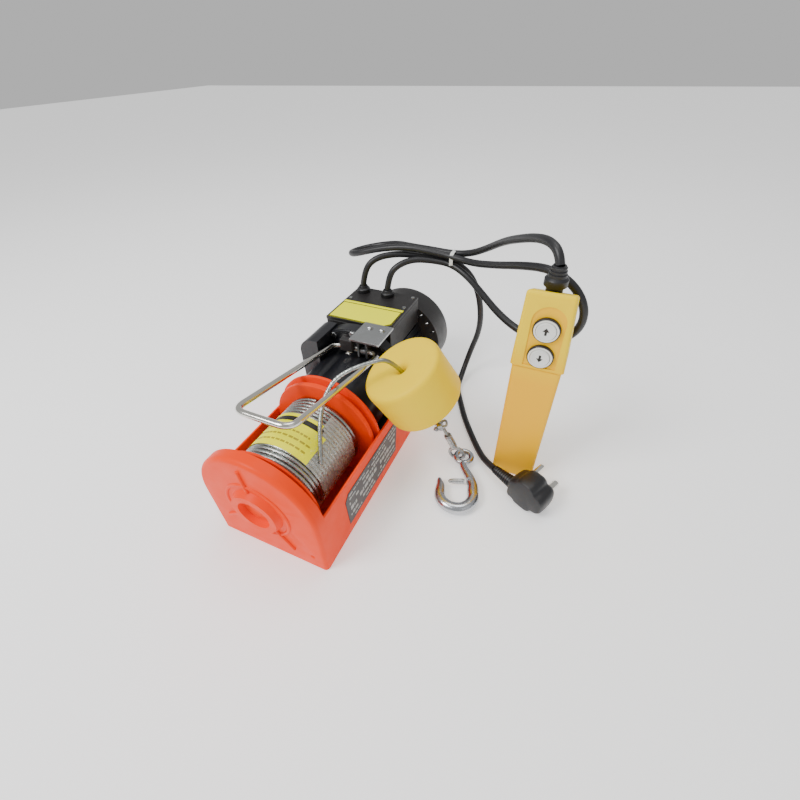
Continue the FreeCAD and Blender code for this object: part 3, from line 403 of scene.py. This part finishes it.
def slab(low, high, edge=0.6, segments=2):
    """A box between two corners in millimetres, with rounded edges."""
    made = bmesh.new()
    bmesh.ops.create_cube(made, size=1.0)
    low, high = mm(*low), mm(*high)
    for vertex in made.verts:
        vertex.co = Vector((low[k] if vertex.co[k] < 0 else high[k]) for k in range(3))
    if edge:
        bmesh.ops.bevel(made, geom=list(made.edges), offset=edge * MM, segments=segments, affect="EDGES",
                        profile=0.5)
    return taken(made)


def taken(made):
    """The vertices and faces of a bmesh, which is freed."""
    made.verts.index_update()
    verts = [vertex.co.copy() for vertex in made.verts]
    faces = [[vertex.index for vertex in face.verts] for face in made.faces]
    made.free()
    return verts, faces


def plate(points, start, thick, matrix=None, edge=0.0):
    """A flat outline in millimetres made solid along Z."""
    made = bmesh.new()
    base = [made.verts.new(mm(x, y, start)) for x, y in points]
    face = made.faces.new(base)
    grown = bmesh.ops.extrude_face_region(made, geom=[face])
    for item in grown["geom"]:
        if isinstance(item, bmesh.types.BMVert):
            item.co.z += thick * MM
    if edge:
        bmesh.ops.bevel(made, geom=list(made.edges), offset=edge * MM, segments=2, affect="EDGES",
                        profile=0.5)
    shape = taken(made)
    return placed(shape, matrix) if matrix else shape


def refined(node, material, edge=0.8, angle=38.0, segments=2):
    """The CAD piece with its edges broken and its curved faces smoothed."""
    source = frame["nodes"][node]
    mesh = source.data.copy()
    mesh.materials.clear()
    mesh.materials.append(material)
    made = bmesh.new()
    made.from_mesh(mesh)
    bmesh.ops.remove_doubles(made, verts=made.verts, dist=2e-6)
    bmesh.ops.dissolve_limit(made, angle_limit=math.radians(0.6), verts=made.verts, edges=made.edges)
    made.to_mesh(mesh)
    made.free()
    shade(mesh, angle)
    piece = bpy.data.objects.new(node + "_finished", mesh)
    bpy.context.scene.collection.objects.link(piece)
    if edge:
        bevel = piece.modifiers.new("edges", "BEVEL")
        bevel.width = edge * MM
        bevel.segments = segments
        bevel.limit_method = "ANGLE"
        bevel.angle_limit = math.radians(angle)
        bevel.harden_normals = True
    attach(piece, source["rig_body"])
    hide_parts(node)
    return piece


# ---------------------------------------------------------------- wire rope
def even(points, step):
    """The same line in equal steps of about step metres."""
    total, marks = 0.0, [0.0]
    for a, b in zip(points, points[1:]):
        total += (b - a).length
        marks.append(total)
    count = max(2, round(total / step))
    out, place = [], 0
    for index in range(count + 1):
        target = total * index / count
        while place < len(points) - 2 and marks[place + 1] < target:
            place += 1
        span = marks[place + 1] - marks[place] or 1.0
        out.append(points[place].lerp(points[place + 1], (target - marks[place]) / span))
    return out


def strand_rope(points, radius, lay=30.0, step=1.3, lobes=6, around=24):
    """Six strands laid round each other: a lobed section that turns along the rope."""
    line = even(points, step * MM)
    length = step * MM

    def section(index):
        twist = 2 * math.pi * index * length / (lay * MM)
        offsets = []
        for k in range(around):
            turn = 2 * math.pi * k / around
            bulge = abs(math.cos(lobes / 2 * (turn - twist))) ** 0.7
            size = radius * MM * (0.80 + 0.20 * bulge)
            offsets.append((size * math.cos(turn), size * math.sin(turn)))
        return offsets
    return sweep(line, section)


# ---------------------------------------------------------------- cords
def make_cords():
    """The two leads and the slack rope, with what hangs on each."""
    mains = nurbs("mains_lead", MAINS_ROUTE, RADIUS_LEAD)
    mains.data.materials.append(RUBBER)
    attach(mains, "root")
    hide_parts("mains_cable")
    pendant = nurbs("pendant_lead", PENDANT_ROUTE, RADIUS_LEAD)
    pendant.data.materials.append(RUBBER)
    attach(pendant, "root")
    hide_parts("pendant_cable")
    guide = nurbs("rope_guide", ROPE_ROUTE)
    line = centreline(guide)
    bpy.data.objects.remove(guide)
    rope = build("slack_rope", strand_rope(line, RADIUS_ROPE), ROPE_STEEL, "root", 60, ["rope_run"])
    plug = plug_and_relief()
    tie = cable_tie()
    fittings = rope_fittings()


def plug_and_relief():
    """Round-pin plug on its side, its pins pointing away from the handset."""
    entry = Vector(MAINS_ROUTE[-1])
    heading = math.atan2(-27, 55)
    lie = Matrix.Translation(mm(entry.x, entry.y, 0)) @ Matrix.Rotation(heading, 4, "Z")
    ribs = [(4.45, 0), (5.2, 0.4)]
    for step in range(9):
        size = 5.2 + (8.2 - 5.2) * (step + 1) / 9
        ribs += [(size, 1.2 + step * 3.1), (size, 3.0 + step * 3.1), (size - 0.9, 3.3 + step * 3.1),
                 (size - 0.9, 4.1 + step * 3.1)]
    ribs += [(8.4, 29.8)]
    along = lie @ Matrix.Translation(mm(0, 0, entry.z)) @ Matrix.Rotation(math.radians(90), 4, "Y")
    collar = build("plug_relief", lathe(ribs, along, 32), RUBBER, "root", 30, ["plug_collar"])
    outline = [(29.6, 9), (32, 5.4), (38, 4.4), (42, 1.4), (48, 0.4), (58, 0.4), (63, 2.6), (66, 7),
               (73, 9.4), (77, 14), (77.8, 22), (77, 30), (73, 35), (66, 37), (63, 41), (58, 43.8), (48, 44),
               (42, 42.4), (38, 38), (32, 34), (29.6, 28)]
    swell = smooth_path(outline + outline[:1], 3)[:-1]
    layers = ((-13.9, 4.0), (-13.2, 1.8), (-11, 0.3), (-2, 0.0), (6, 0.4), (12, 1.4), (15, 3.0), (15.9, 4.6))
    centre = Vector((54, 22))
    verts = []
    for depth, shrink in layers:
        for x, z in swell:
            out = Vector((x, z)) - centre
            point = centre + out * (1 - shrink / out.length)
            verts.append(lie @ mm(point.x, depth, max(point.y, 0.25)))
    body = build("plug_moulding", (verts, skin(len(layers), len(swell))), RUBBER, "root", 35, ["plug_body"])
    pins = []
    for x, z, radius in ((66, 22, 4.3), (44, 12, 3.4), (44, 33, 3.4)):
        profile = [(0.01, 0), (radius, 0), (radius, 16.6), (radius - 0.5, 17.6), (radius - 1.4, 18),
                   (0.01, 18)]
        pins.append(lathe(profile, lie @ turned_to((x, 16, z), -90), 28))
    pin = build("plug_contacts", joined(*pins), CHROME, "root", 40, ["plug_pins"])
    return [collar, body, pin]


def cable_tie():
    """A nylon tie round the strands of the hank."""
    low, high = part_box("cable_tie")
    middle = (low + high) / 2 / MM
    wide, deep = (high.y - low.y) / MM / 2, (high.z - low.z) / MM / 2
    path = []
    for step in range(48):
        turn = 2 * math.pi * step / 48
        c, s = math.cos(turn), math.sin(turn)
        grow = (abs(c) ** 4 + abs(s) ** 4) ** -0.25
        path.append(mm(middle.x, middle.y + (wide - 0.6) * c * grow, middle.z + (deep - 0.6) * s * grow))
    band = [(2.4 * MM, -0.5 * MM), (2.4 * MM, 0.5 * MM), (-2.4 * MM, 0.5 * MM), (-2.4 * MM, -0.5 * MM)]
    strap = sweep(path, lambda index: band, True, Vector((1, 0, 0)))
    return build("tie_strap", strap, WHITE, "root", 50, ["cable_tie"])


def thimble_ring(radius, steps=60):
    """Points of an upright ring round the thimble's centre."""
    x, y, z = THIMBLE_CENTRE
    turns = [2 * math.pi * step / steps for step in range(steps)]
    return [mm(x + radius * math.cos(turn), y, z + radius * math.sin(turn)) for turn in turns]


def rope_fittings():
    """Wire clip, pressed sleeve and the soft eye round its thimble."""
    start, end = Vector(ROPE_ROUTE[-2]), Vector(ROPE_ROUTE[-1])
    along = (end - start).normalized()
    across = along.cross(Vector((0, 0, 1))).normalized()
    out = along.cross(across).normalized()
    seat = end - along * 52
    grip = Matrix.Translation(mm(*seat)) @ Matrix((across, out, along)).transposed().to_4x4()
    saddle = placed(slab((-6.8, -1.5, 0.5), (6.8, 5.6, 10.5), 1.6, 3), grip)
    legs, nuts = [], []
    for side in (-1, 1):
        foot = grip @ turned_to((5.0 * side, -5.0, 5.5), -90)
        legs.append(lathe([(0.01, 0), (1.6, 0), (1.6, 15.4), (1.3, 15.9), (0.01, 15.9)], foot, 16))
        nut = grip @ turned_to((5.0 * side, 5.8, 5.5), -90)
        nuts.append(lathe([(0.01, 0), (3.1, 0), (3.3, 0.3), (3.3, 3.0), (3.0, 3.4), (0.01, 3.4)], nut, 6))
    bow = [grip @ mm(5.0 * math.cos(math.radians(a)), -4.8 - 2.0 * math.sin(math.radians(a)), 5.5)
           for a in range(0, 181, 12)]
    clip = build("wire_clip", joined(saddle, rounded_tube(bow, 1.6, 12), *legs, *nuts), ZINC, "root", 35,
                 ["rope_clip"])
    sleeve = []
    for step in range(25):
        dent = 0.5 if step % 8 in (3, 4, 5) and 2 < step < 22 else 0.0
        size = 5.0 if 1 < step < 23 else 4.3
        sleeve.append((size - dent, step))
    tube = toward(end - along * 26, along)
    ferrule = build("pressed_sleeve", lathe([(2.6, 0)] + sleeve + [(2.6, 24)], tube, 28), ZINC, "root", 30,
                    ["rope_ferrule"])
    eye = sweep(thimble_ring(9.9), lambda index: circle(2.2, 12), True, Vector((0, 1, 0)))
    groove = sweep(thimble_ring(8.5), lambda index: circle(1.1, 10, 2.2), True, Vector((0, 1, 0)))
    thimble = build("thimble_eye", joined(eye, groove), ZINC, "root", 50, ["thimble"])
    return [clip, ferrule, thimble]


make_cords()


# ---------------------------------------------------------------- floor and light
def make_stage():
    """A pale floor that runs out of sight, and soft lights from above and both sides."""
    floor_paint = surface("floor", srgb(250, 250, 250), 0.85, grain=0.02, grain_scale=40)
    glow = floor_paint.node_tree.nodes["Principled BSDF"]
    glow.inputs["Emission Color"].default_value = (1, 1, 1, 1)
    glow.inputs["Emission Strength"].default_value = 0.45
    mesh = bpy.data.meshes.new("floor")
    mesh.from_pydata([(-6, -6, 0), (6, -6, 0), (6, 6, 0), (-6, 6, 0)], [], [[0, 1, 2, 3]])
    mesh.materials.append(floor_paint)
    floor = bpy.data.objects.new("floor", mesh)
    floor.location.z = -0.0006
    bpy.context.scene.collection.objects.link(floor)
    world = bpy.data.worlds.new("studio")
    world.use_nodes = True
    world.node_tree.nodes["Background"].inputs["Color"].default_value = (1, 1, 1, 1)
    world.node_tree.nodes["Background"].inputs["Strength"].default_value = 0.55
    bpy.context.scene.world = world
    target = Vector((0.08, 0.08, 0.08))
    lamps = (("key", (-0.7, -0.9, 1.5), 0.7, 26), ("fill", (1.6, -0.7, 1.1), 1.2, 2),
             ("top", (0.1, 0.4, 1.9), 1.0, 12))
    for name, place, size, power in lamps:
        data = bpy.data.lights.new(name, "AREA")
        data.size = size
        data.energy = power
        lamp = bpy.data.objects.new(name, data)
        lamp.location = place
        lamp.rotation_euler = (target - Vector(place)).to_track_quat("-Z", "Y").to_euler()
        bpy.context.scene.collection.objects.link(lamp)


make_stage()


# ---------------------------------------------------------------- drum
def make_winding():
    """Turns of rope wound on the drum, laid side by side with the unevenness of a hand-guided rope."""
    rng = random.Random(7)
    line = []
    steps, turns = 60, 19
    first, last = -92.4, 2.9
    outer_radius, under_radius, under_steps = 47.2, 43.4, 40
    drift = [rng.uniform(-0.25, 0.25) for _ in range(turns * 6 + 8)]
    for index in range(steps * turns + 1):
        part = index / (steps * turns)
        turn = 2 * math.pi * index / steps
        knot = index / steps * 6
        k, f = int(knot), knot - int(knot)
        wobble = drift[k] * (1 - f) + drift[k + 1] * f
        radius = outer_radius + wobble * 0.9
        y = first + (last - first) * part + wobble
        y = min(max(y, first), last)
        line.append(mm(radius * math.sin(turn), y, AXIS_HEIGHT + radius * math.cos(turn)))
    outer = strand_rope(line, RADIUS_ROPE + 0.1, lay=24.0, step=2.4, around=18)
    under = []
    for index in range(under_steps * turns + 1):
        part = index / (under_steps * turns)
        turn = -2 * math.pi * index / under_steps + 0.7
        under.append(mm(under_radius * math.sin(turn), last - 95.3 * part,
                        AXIS_HEIGHT + under_radius * math.cos(turn)))
    inner = rounded_tube(under, 2.6, 8)
    core = ring_lathe([(42.6, -94.6), (42.6, 5.1), (31, 5.1), (31, -94.6)],
                      turned_to((0, 0, AXIS_HEIGHT), -90))
    build("wound_rope", joined(outer, inner, core), ROPE_STEEL, "drum", 55, ["rope_winding"])


def wrapped(name, y_start, y_end, from_angle, to_angle, radius, material, crinkle=0.0, steps=40, rows=8):
    """A thin sheet round the winding; angles are from the top towards +X, in degrees."""
    rng = random.Random(name)
    verts, faces = [], []
    for side in (0.0, 0.18):
        for i in range(steps + 1):
            turn = math.radians(from_angle + (to_angle - from_angle) * i / steps)
            for j in range(rows + 1):
                y = y_start + (y_end - y_start) * j / rows
                lift = crinkle * rng.uniform(-1, 0.4) if side == 0 else 0.0
                size = radius - side + lift
                verts.append(mm(size * math.sin(turn), y, AXIS_HEIGHT + size * math.cos(turn)))
    row = rows + 1
    half = (steps + 1) * row
    for i in range(steps):
        for j in range(rows):
            a = i * row + j
            faces.append([a, a + 1, a + row + 1, a + row])
            faces.append([half + a, half + a + row, half + a + row + 1, half + a + 1])
    edge = list(range(row)) + [i * row + rows for i in range(1, steps + 1)]
    edge += [steps * row + j for j in reversed(range(rows))] + [i * row for i in reversed(range(1, steps))]
    for a, b in zip(edge, edge[1:] + edge[:1]):
        faces.append([a, b, b + half, a + half])
    return build(name, (verts, faces), material, "drum", 60)


def make_drum():
    refined("drum", PAINT, 1.0)
    make_winding()
    wrapped("drum_label", -74, -36, -88, 44, DRUM_LABEL_RADIUS, LABEL_YELLOW, 0.35)
    wrapped("drum_label_stripe", -35.6, -29.5, -74, 36, 50.1, LABEL_BLACK, 0.1, rows=2)
    wrapped("drum_label_edge", -29.2, -24.5, -70, 32, 50.1, LABEL_YELLOW, 0.1, rows=2)
    wrapped("drum_film", -74, -8, 31, 112, 49.98, FILM, 1.6, 46, 30)
    rows = []
    rng = random.Random(3)
    for line in range(3):
        y = -66 + line * 8.5
        turn = -70.0
        while turn < 30:
            wide = rng.uniform(2.0, 7.0)
            cells = []
            for a, b in ((turn, y), (turn + wide, y), (turn + wide, y + 2.2), (turn, y + 2.2)):
                around = math.radians(a)
                for size in (50.34, 50.1):
                    cells.append(mm(size * math.sin(around), b, AXIS_HEIGHT + size * math.cos(around)))
            faces = [[0, 2, 4, 6], [1, 7, 5, 3], [0, 1, 3, 2], [2, 3, 5, 4], [4, 5, 7, 6], [6, 7, 1, 0]]
            rows.append((cells, faces))
            turn += wide + rng.uniform(1.2, 2.4)
    build("drum_label_text", joined(*rows), FADED_PRINT, "drum")


# ---------------------------------------------------------------- frame and cases
def make_frame():
    refined("base_channel", PAINT, 0.7)
    refined("front_end_plate", PAINT, 0.5, 30)
    refined("bearing_cap", PAINT, 0.8)
    refined("mount_plate", PAINT, 0.6)
    refined("rail_label", SLATE, 0.1)
    rail_print()


def rail_print():
    """Rows of unreadable print on the rail's label."""
    rng = random.Random(11)
    bars = []
    face = 72.02
    for z, tall in ((20, 3.2), (27, 4.6), (35.5, 6.5), (46, 4.6), (54, 3.0), (60, 2.4)):
        y = -64 + rng.uniform(0, 2)
        while y < 50:
            wide = rng.uniform(2.0, 8.0)
            if rng.random() < 0.86:
                top = z + tall * rng.uniform(0.55, 1)
                bars.append(slab((face - 0.06, y, z), (face + 0.03, y + wide, top), 0))
            y += wide + rng.uniform(1.0, 2.2)
    build("rail_print", joined(*bars), PRINT, "root")


def hex_head(place, radius, height, turn):
    """A hexagon screw head that faces the front, turned by an angle in radians."""
    profile = [(0.01, 0), (radius, 0), (radius, height - 0.5), (radius - 0.6, height), (0.01, height)]
    return lathe(profile, turned_to(place, 90) @ Matrix.Rotation(turn, 4, "Z"), 6)


def make_cases():
    """Gear cases, motor housing and fan cowl, with the cover's rim, ribs and screws."""
    refined("gear_case_front", CASE, 1.6, 40, 3)
    refined("gear_case_rear", CASE, 2.2, 40, 3)
    refined("motor_housing", CASE, 0.5)
    refined("fan_cowl", BLACK_PLASTIC, 0.5)
    turns = [2 * math.pi * s / 120 for s in range(-28, 62)]
    rim = [mm(CASE_X + 60.4 * math.cos(turn), 106.6, CASE_Z + 60.4 * math.sin(turn)) for turn in turns]
    build("cover_rim", rounded_tube(rim, 1.6, 10), CASE, "root", 50)
    ribs = [slab((-69.2, y, 84), (-67, y + 3, 124), 0.7) for y in (78, 90, 102)]
    build("shoulder_ribs", joined(*ribs), CASE, "root")
    heads = []
    for index, angle in enumerate((6, 36, 90, 118)):
        x = CASE_X + 58 * math.cos(math.radians(angle))
        z = CASE_Z + 58 * math.sin(math.radians(angle))
        heads.append(hex_head((x, 105.9, z), 4.1, 2.8, 0.4 * index))
        shank = toward((x, 105.9, z), (0, 1, 0))
        heads.append(lathe([(0.01, 0), (2.4, 0), (2.4, 7.9), (0.01, 7.9)], shank, 16))
    build("cover_screws", joined(*heads), ZINC, "root", 35, ["case_screws"])


def make_terminal_box():
    """Terminal box with its lid, label, screws and cable glands."""
    refined("terminal_box", BLACK_PLASTIC, 1.4, 38, 3)
    refined("terminal_box_lid", BLACK_PLASTIC, 1.0, 38, 3)
    refined("box_label", LABEL_YELLOW, 0.1)
    low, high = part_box("box_label")
    x0, y0, x1, y1, top = low.x / MM, low.y / MM, high.x / MM, high.y / MM, high.z / MM
    lines = [[(x0, y0), (x1 - 9, y0), (x1 - 9.6, y0 + 1.5), (x0, y0 + 1.5)],
             [(x0, y1 - 7), (x1, y1 - 7), (x1, y1 - 5.4), (x0, y1 - 5.4)],
             [(x1 - 9, y0), (x1, y0 + 9), (x1 - 1.4, y0 + 9.4), (x1 - 9.6, y0 + 1.5)],
             [(x1 - 1.4, y0 + 9.4), (x1, y0 + 9), (x1, y1 - 7), (x1 - 1.4, y1 - 7)],
             [(x0, y0 + 1.5), (x0 + 1.3, y0 + 1.5), (x0 + 1.3, y1 - 7), (x0, y1 - 7)]]
    build("box_label_lines", joined(*[plate(points, top - 0.05, 0.08) for points in lines]), LABEL_BLACK,
          "root")
    head = [(0.01, 0), (2.8, 0), (2.6, 1.2), (1.2, 1.5), (0.01, 1.5)]
    screws = []
    for x, y in ((-56, 219), (28, 219), (28, 188), (-56, 188)):
        screws.append(lathe(head, toward((x, y, 149.9), (0, 0, 1)), 20))
    build("box_screws", joined(*screws), ZINC, "root")
    glands = []
    for x in (-48, -9):
        profile = [(4.6, -3), (6, -3), (6, 4), (9.3, 4), (9.5, 4.4), (9.5, 9.0), (8.9, 9.8), (7.6, 10.6),
                   (7.0, 12), (6.1, 12.3), (6.1, 12.8), (6.4, 13.1), (5.8, 14), (4.5, 14), (4.5, 5)]
        glands.append(ring_lathe(profile, Matrix.Translation(mm(x, 213, 146)), 36))
    build("gland_boots", joined(*glands), RUBBER, "root", 30, ["cable_glands"])


# ---------------------------------------------------------------- lever
def make_lever():
    """Bent bright rod, its bracket, spring and switch."""
    corners = [mm(*place) for place in ((0, 100, 130), (33, 100, 130), (33, -79, 165), (-33, -79, 165),
                                        (-33, 100, 130), (0, 100, 130))]
    path = [corners[0]]
    for before, point, after in zip(corners, corners[1:], corners[2:]):
        arrive, leave = (point - before).normalized(), (after - point).normalized()
        reach = 14 * MM * math.tan(arrive.angle(leave) / 2)
        start, end = point - arrive * reach, point + leave * reach
        for step in range(13):
            t = step / 12
            a, b = start.lerp(point, t), point.lerp(end, t)
            path.append(a.lerp(b, t))
    path = even(path + [corners[-1]], 2 * MM)
    tab = slab((-8, 84.5, 130.2), (-1, 98.5, 132.2), 0.5)
    build("lever_rod", joined(rounded_tube(path, 3.5, 24), tab), CHROME, "lever", 45, ["lever_loop"])
    refined("lever_bracket", ZINC, 0.5)
    coil = []
    for step in range(6 * 24 + 1):
        turn = 2 * math.pi * step / 24
        coil.append(mm(7.4 + 7.2 * step / 144, 100 + 4.8 * math.cos(turn), 130 + 4.8 * math.sin(turn)))
    build("return_spring", rounded_tube(coil, 0.55, 8), STEEL, "root", 50, ["lever_spring"])
    refined("limit_switch", BLACK_PLASTIC, 0.5)
    head = [(0.01, 0), (3.4, 0), (3.4, 2.2), (2.9, 2.6), (0.01, 2.6)]
    washer = [(1.5, 0), (4.6, 0), (4.6, 0.7), (1.5, 0.7)]
    bolts = [lathe(head, Matrix.Translation(mm(x, y, 155.2)), 6) for x, y in BRACKET_BOLTS]
    bolts += [ring_lathe(washer, Matrix.Translation(mm(x, y, 155.1)), 24) for x, y in BRACKET_BOLTS]
    build("bracket_bolts", joined(*bolts), ZINC, "root", 35)


# ---------------------------------------------------------------- counterweight and hook
def make_weight():
    """A turned casting with a flared hole for the rope and rounded edges."""
    profile = [(4.1, 61), (4.1, 13), (4.9, 9.5), (6.4, 6.2), (8.6, 3.7), (11.4, 2.0), (15, 0.9), (20, 0.35),
               (30, 0.1), (38, 0.15), (42, 0.6), (44.6, 1.6), (46.3, 3.2), (47.2, 5.4), (47.5, 8),
               (47.5, 53.5), (47.1, 56.4), (46, 58.7), (44, 60.2), (41, 60.9), (38, 61)]
    casting = ring_lathe(profile, toward(WEIGHT_TOP, WEIGHT_AXIS), 96)
    build("counterweight_casting", casting, WEIGHT_PAINT, "weight", 50, ["counterweight"])


def hook_place():
    """The hook's own frame: flat on its side, its shank along -Y from the eye."""
    return turned_to(HOOK_EYE, 9, "Z") @ Matrix.Rotation(math.radians(1.0), 4, "X")


def make_hook():
    """Forged eye hook: a tapering bar bent into a bowl, with an eye and a sprung latch."""
    lie = hook_place()
    knots = [(0.4, -9.0, 4.0), (1.5, -15, 4.6), (7.0, -24, 5.4), (13.2, -33.5, 6.1), (17.8, -44, 6.8)]
    for angle in range(20, -196, -20):
        turn = math.radians(angle)
        swell = 7.3 - 1.0 * max(0.0, (-angle - 120) / 75)
        knots.append((20.5 * math.cos(turn), -60 + 20.5 * math.sin(turn), swell))
    knots += [(-21.4, -51.5, 5.4), (-23.3, -46.4, 3.9), (-24.4, -42.2, 2.4), (-24.8, -40.6, 1.0)]
    trail = smooth_path(knots, 6)
    path = [lie @ mm(x, y, 0) for x, y, _ in trail]

    def section(index):
        return circle(trail[index][2], 20)
    bar = sweep(path, section, False, lie.to_3x3() @ Vector((0, 0, 1)))
    turns = [2 * math.pi * s / 56 for s in range(56)]
    eye_path = [lie @ mm(10 * math.cos(turn), 10 * math.sin(turn), 0) for turn in turns]
    eye = sweep(eye_path, lambda index: circle(3.7, 18), True, lie.to_3x3() @ Vector((0, 0, 1)))
    pin = lathe([(0.01, -6.3), (1.9, -6.3), (2.1, -5.9), (2.1, 5.9), (1.9, 6.3), (0.01, 6.3)],
                lie @ Matrix.Translation(mm(11.5, -37.6, 0)), 20)
    build("forged_hook", joined(bar, eye, pin), HOOK_STEEL, "load_hook", 50, ["hook"])
    reach = Vector((-29.0, -6.0))
    turn = math.atan2(reach.y, reach.x)
    tongue = lie @ Matrix.Translation(mm(9.5, -38.5, 0)) @ Matrix.Rotation(turn, 4, "Z")
    outline = [(2.6, -4.6), (9, -5.0), (17, -4.6), (21.6, -3.4), (23.4, 0), (21.6, 3.4), (17, 4.6), (9, 5.0),
               (2.6, 4.6)]
    blade = plate(outline, -0.9, 1.6, tongue @ Matrix.Rotation(math.radians(90), 4, "X"), 0.3)
    rib = rounded_tube([tongue @ mm(4 + 1.6 * s, 0.75, 0) for s in range(11)], 0.9, 10)
    build("latch_tongue", joined(blade, rib), ZINC, "latch", 40, ["hook_latch"])


# ---------------------------------------------------------------- handset
def make_handset():
    """Two moulded halves with an arched panel, two arrow buttons and a ribbed boot."""
    refined("handset_front_shell", YELLOW, 0.35, 28, 2)
    refined("handset_rear_shell", YELLOW, 0.35, 28, 2)
    arch = [(206.7, 175.1), (238.3, 175.1)]
    for angle in range(0, 181, 8):
        turn = math.radians(angle)
        arch.append((222.5 + 15.8 * math.cos(turn), 226 + 15.8 * math.sin(turn)))
    panel = plate(arch, -1.22, 0.12, turned_to((0, HANDSET_FRONT, 0), 90))
    build("handset_panel", panel, PANEL, "root", 40)
    buttons = (("button_up", "up_key", 1), ("button_down", "down_key", -1))
    for (name, body, direction), z in zip(buttons, BUTTON_HEIGHTS):
        face = turned_to((BUTTON_X, HANDSET_FRONT + 7.5, z), 90)
        profile = [(0.01, -3), (3, -3), (3, 0), (9.5, 0), (9.5, 10.6), (9.2, 11.3), (8.4, 11.7), (7.6, 11.4),
                   (7.3, 11.2), (0.01, 11.2)]
        build(name + "_cap", lathe(profile, face, 40), WHITE, body, 35, [name])
        arrow = [(-1.1, -3.6), (1.1, -3.6), (1.1, 0.2), (3.2, 0.2), (0, 4.2), (-3.2, 0.2), (-1.1, 0.2)]
        arrow = [(x, y * direction) for x, y in arrow]
        if direction < 0:
            arrow = arrow[::-1]
        build(name + "_arrow", plate(arrow, 11.15, 0.25, face), LABEL_BLACK, body)
    rubber = [(9.85, -1.1), (9.85, 2.3), (10.6, 2.5), (12.4, 2.2), (13, 1.4), (13, -1.1)]
    bezel = [(9.9, 2.2), (9.9, 2.7), (11.6, 2.7), (11.9, 2.3)]
    rings, bright = [], []
    for z in BUTTON_HEIGHTS:
        face = turned_to((BUTTON_X, HANDSET_FRONT, z), 90)
        rings.append(ring_lathe(rubber, face, 48))
        bright.append(ring_lathe(bezel, face, 48))
    build("collar_rings", joined(*rings), RUBBER, "root", 35, ["button_collars"])
    build("collar_bezels", joined(*bright), CHROME, "root", 35)
    profile = [(4.45, -24), (8, -24), (8, -4), (10.8, -4), (11, -3.6), (11, 2.4), (10.4, 3.2), (8.6, 4.6)]
    for step in range(3):
        size = 8.6 - step * 0.7
        profile += [(size, 5.4 + step * 3.1), (size, 7.2 + step * 3.1), (size - 1.0, 7.6 + step * 3.1),
                    (size - 1.0, 8.2 + step * 3.1)]
    profile += [(6.0, 15), (4.45, 15)]
    boot = ring_lathe(profile, Matrix.Translation(mm(219, 107, 257)), 36)
    build("lead_boot", boot, RUBBER, "root", 30, ["handset_boot"])
    screws = [lathe([(0.01, 0), (2.4, 0), (2.2, 0.9), (0.01, 1.0)], turned_to((x, 127.9, z), -90), 16)
              for x, z in ((203, 20), (239, 20), (203, 140), (239, 140))]
    build("shell_screws", joined(*screws), ZINC, "root")


# ---------------------------------------------------------------- everything else keeps its CAD shape
def paint_the_rest():
    """Materials for the inner pieces that are shown as the frame has them."""
    finishes = {
        "drum_shaft": STEEL, "drum_gear": STEEL, "idler_shaft": STEEL, "idler_pinion": STEEL,
        "idler_gear": STEEL, "motor_shaft": STEEL, "motor_pinion": STEEL, "motor_bearings": STEEL,
        "brake_armature": STEEL,
        "brake_disc": STEEL, "drum_bushes": BRONZE, "idler_bushes": BRONZE, "rope_clamp": ZINC,
        "stator_core": LAMINATION, "rotor_core": LAMINATION, "stator_windings": COPPER, "brake_coil": COPPER,
        "fan": BLACK_PLASTIC, "capacitor": WHITE, "switch_plunger": WHITE, "switch_block": BLACK_PLASTIC}
    for node, material in finishes.items():
        mesh = frame["nodes"][node].data
        mesh.materials.clear()
        mesh.materials.append(material)


make_drum()
make_frame()
make_cases()
make_terminal_box()
make_lever()
make_weight()
make_hook()
make_handset()
paint_the_rest()
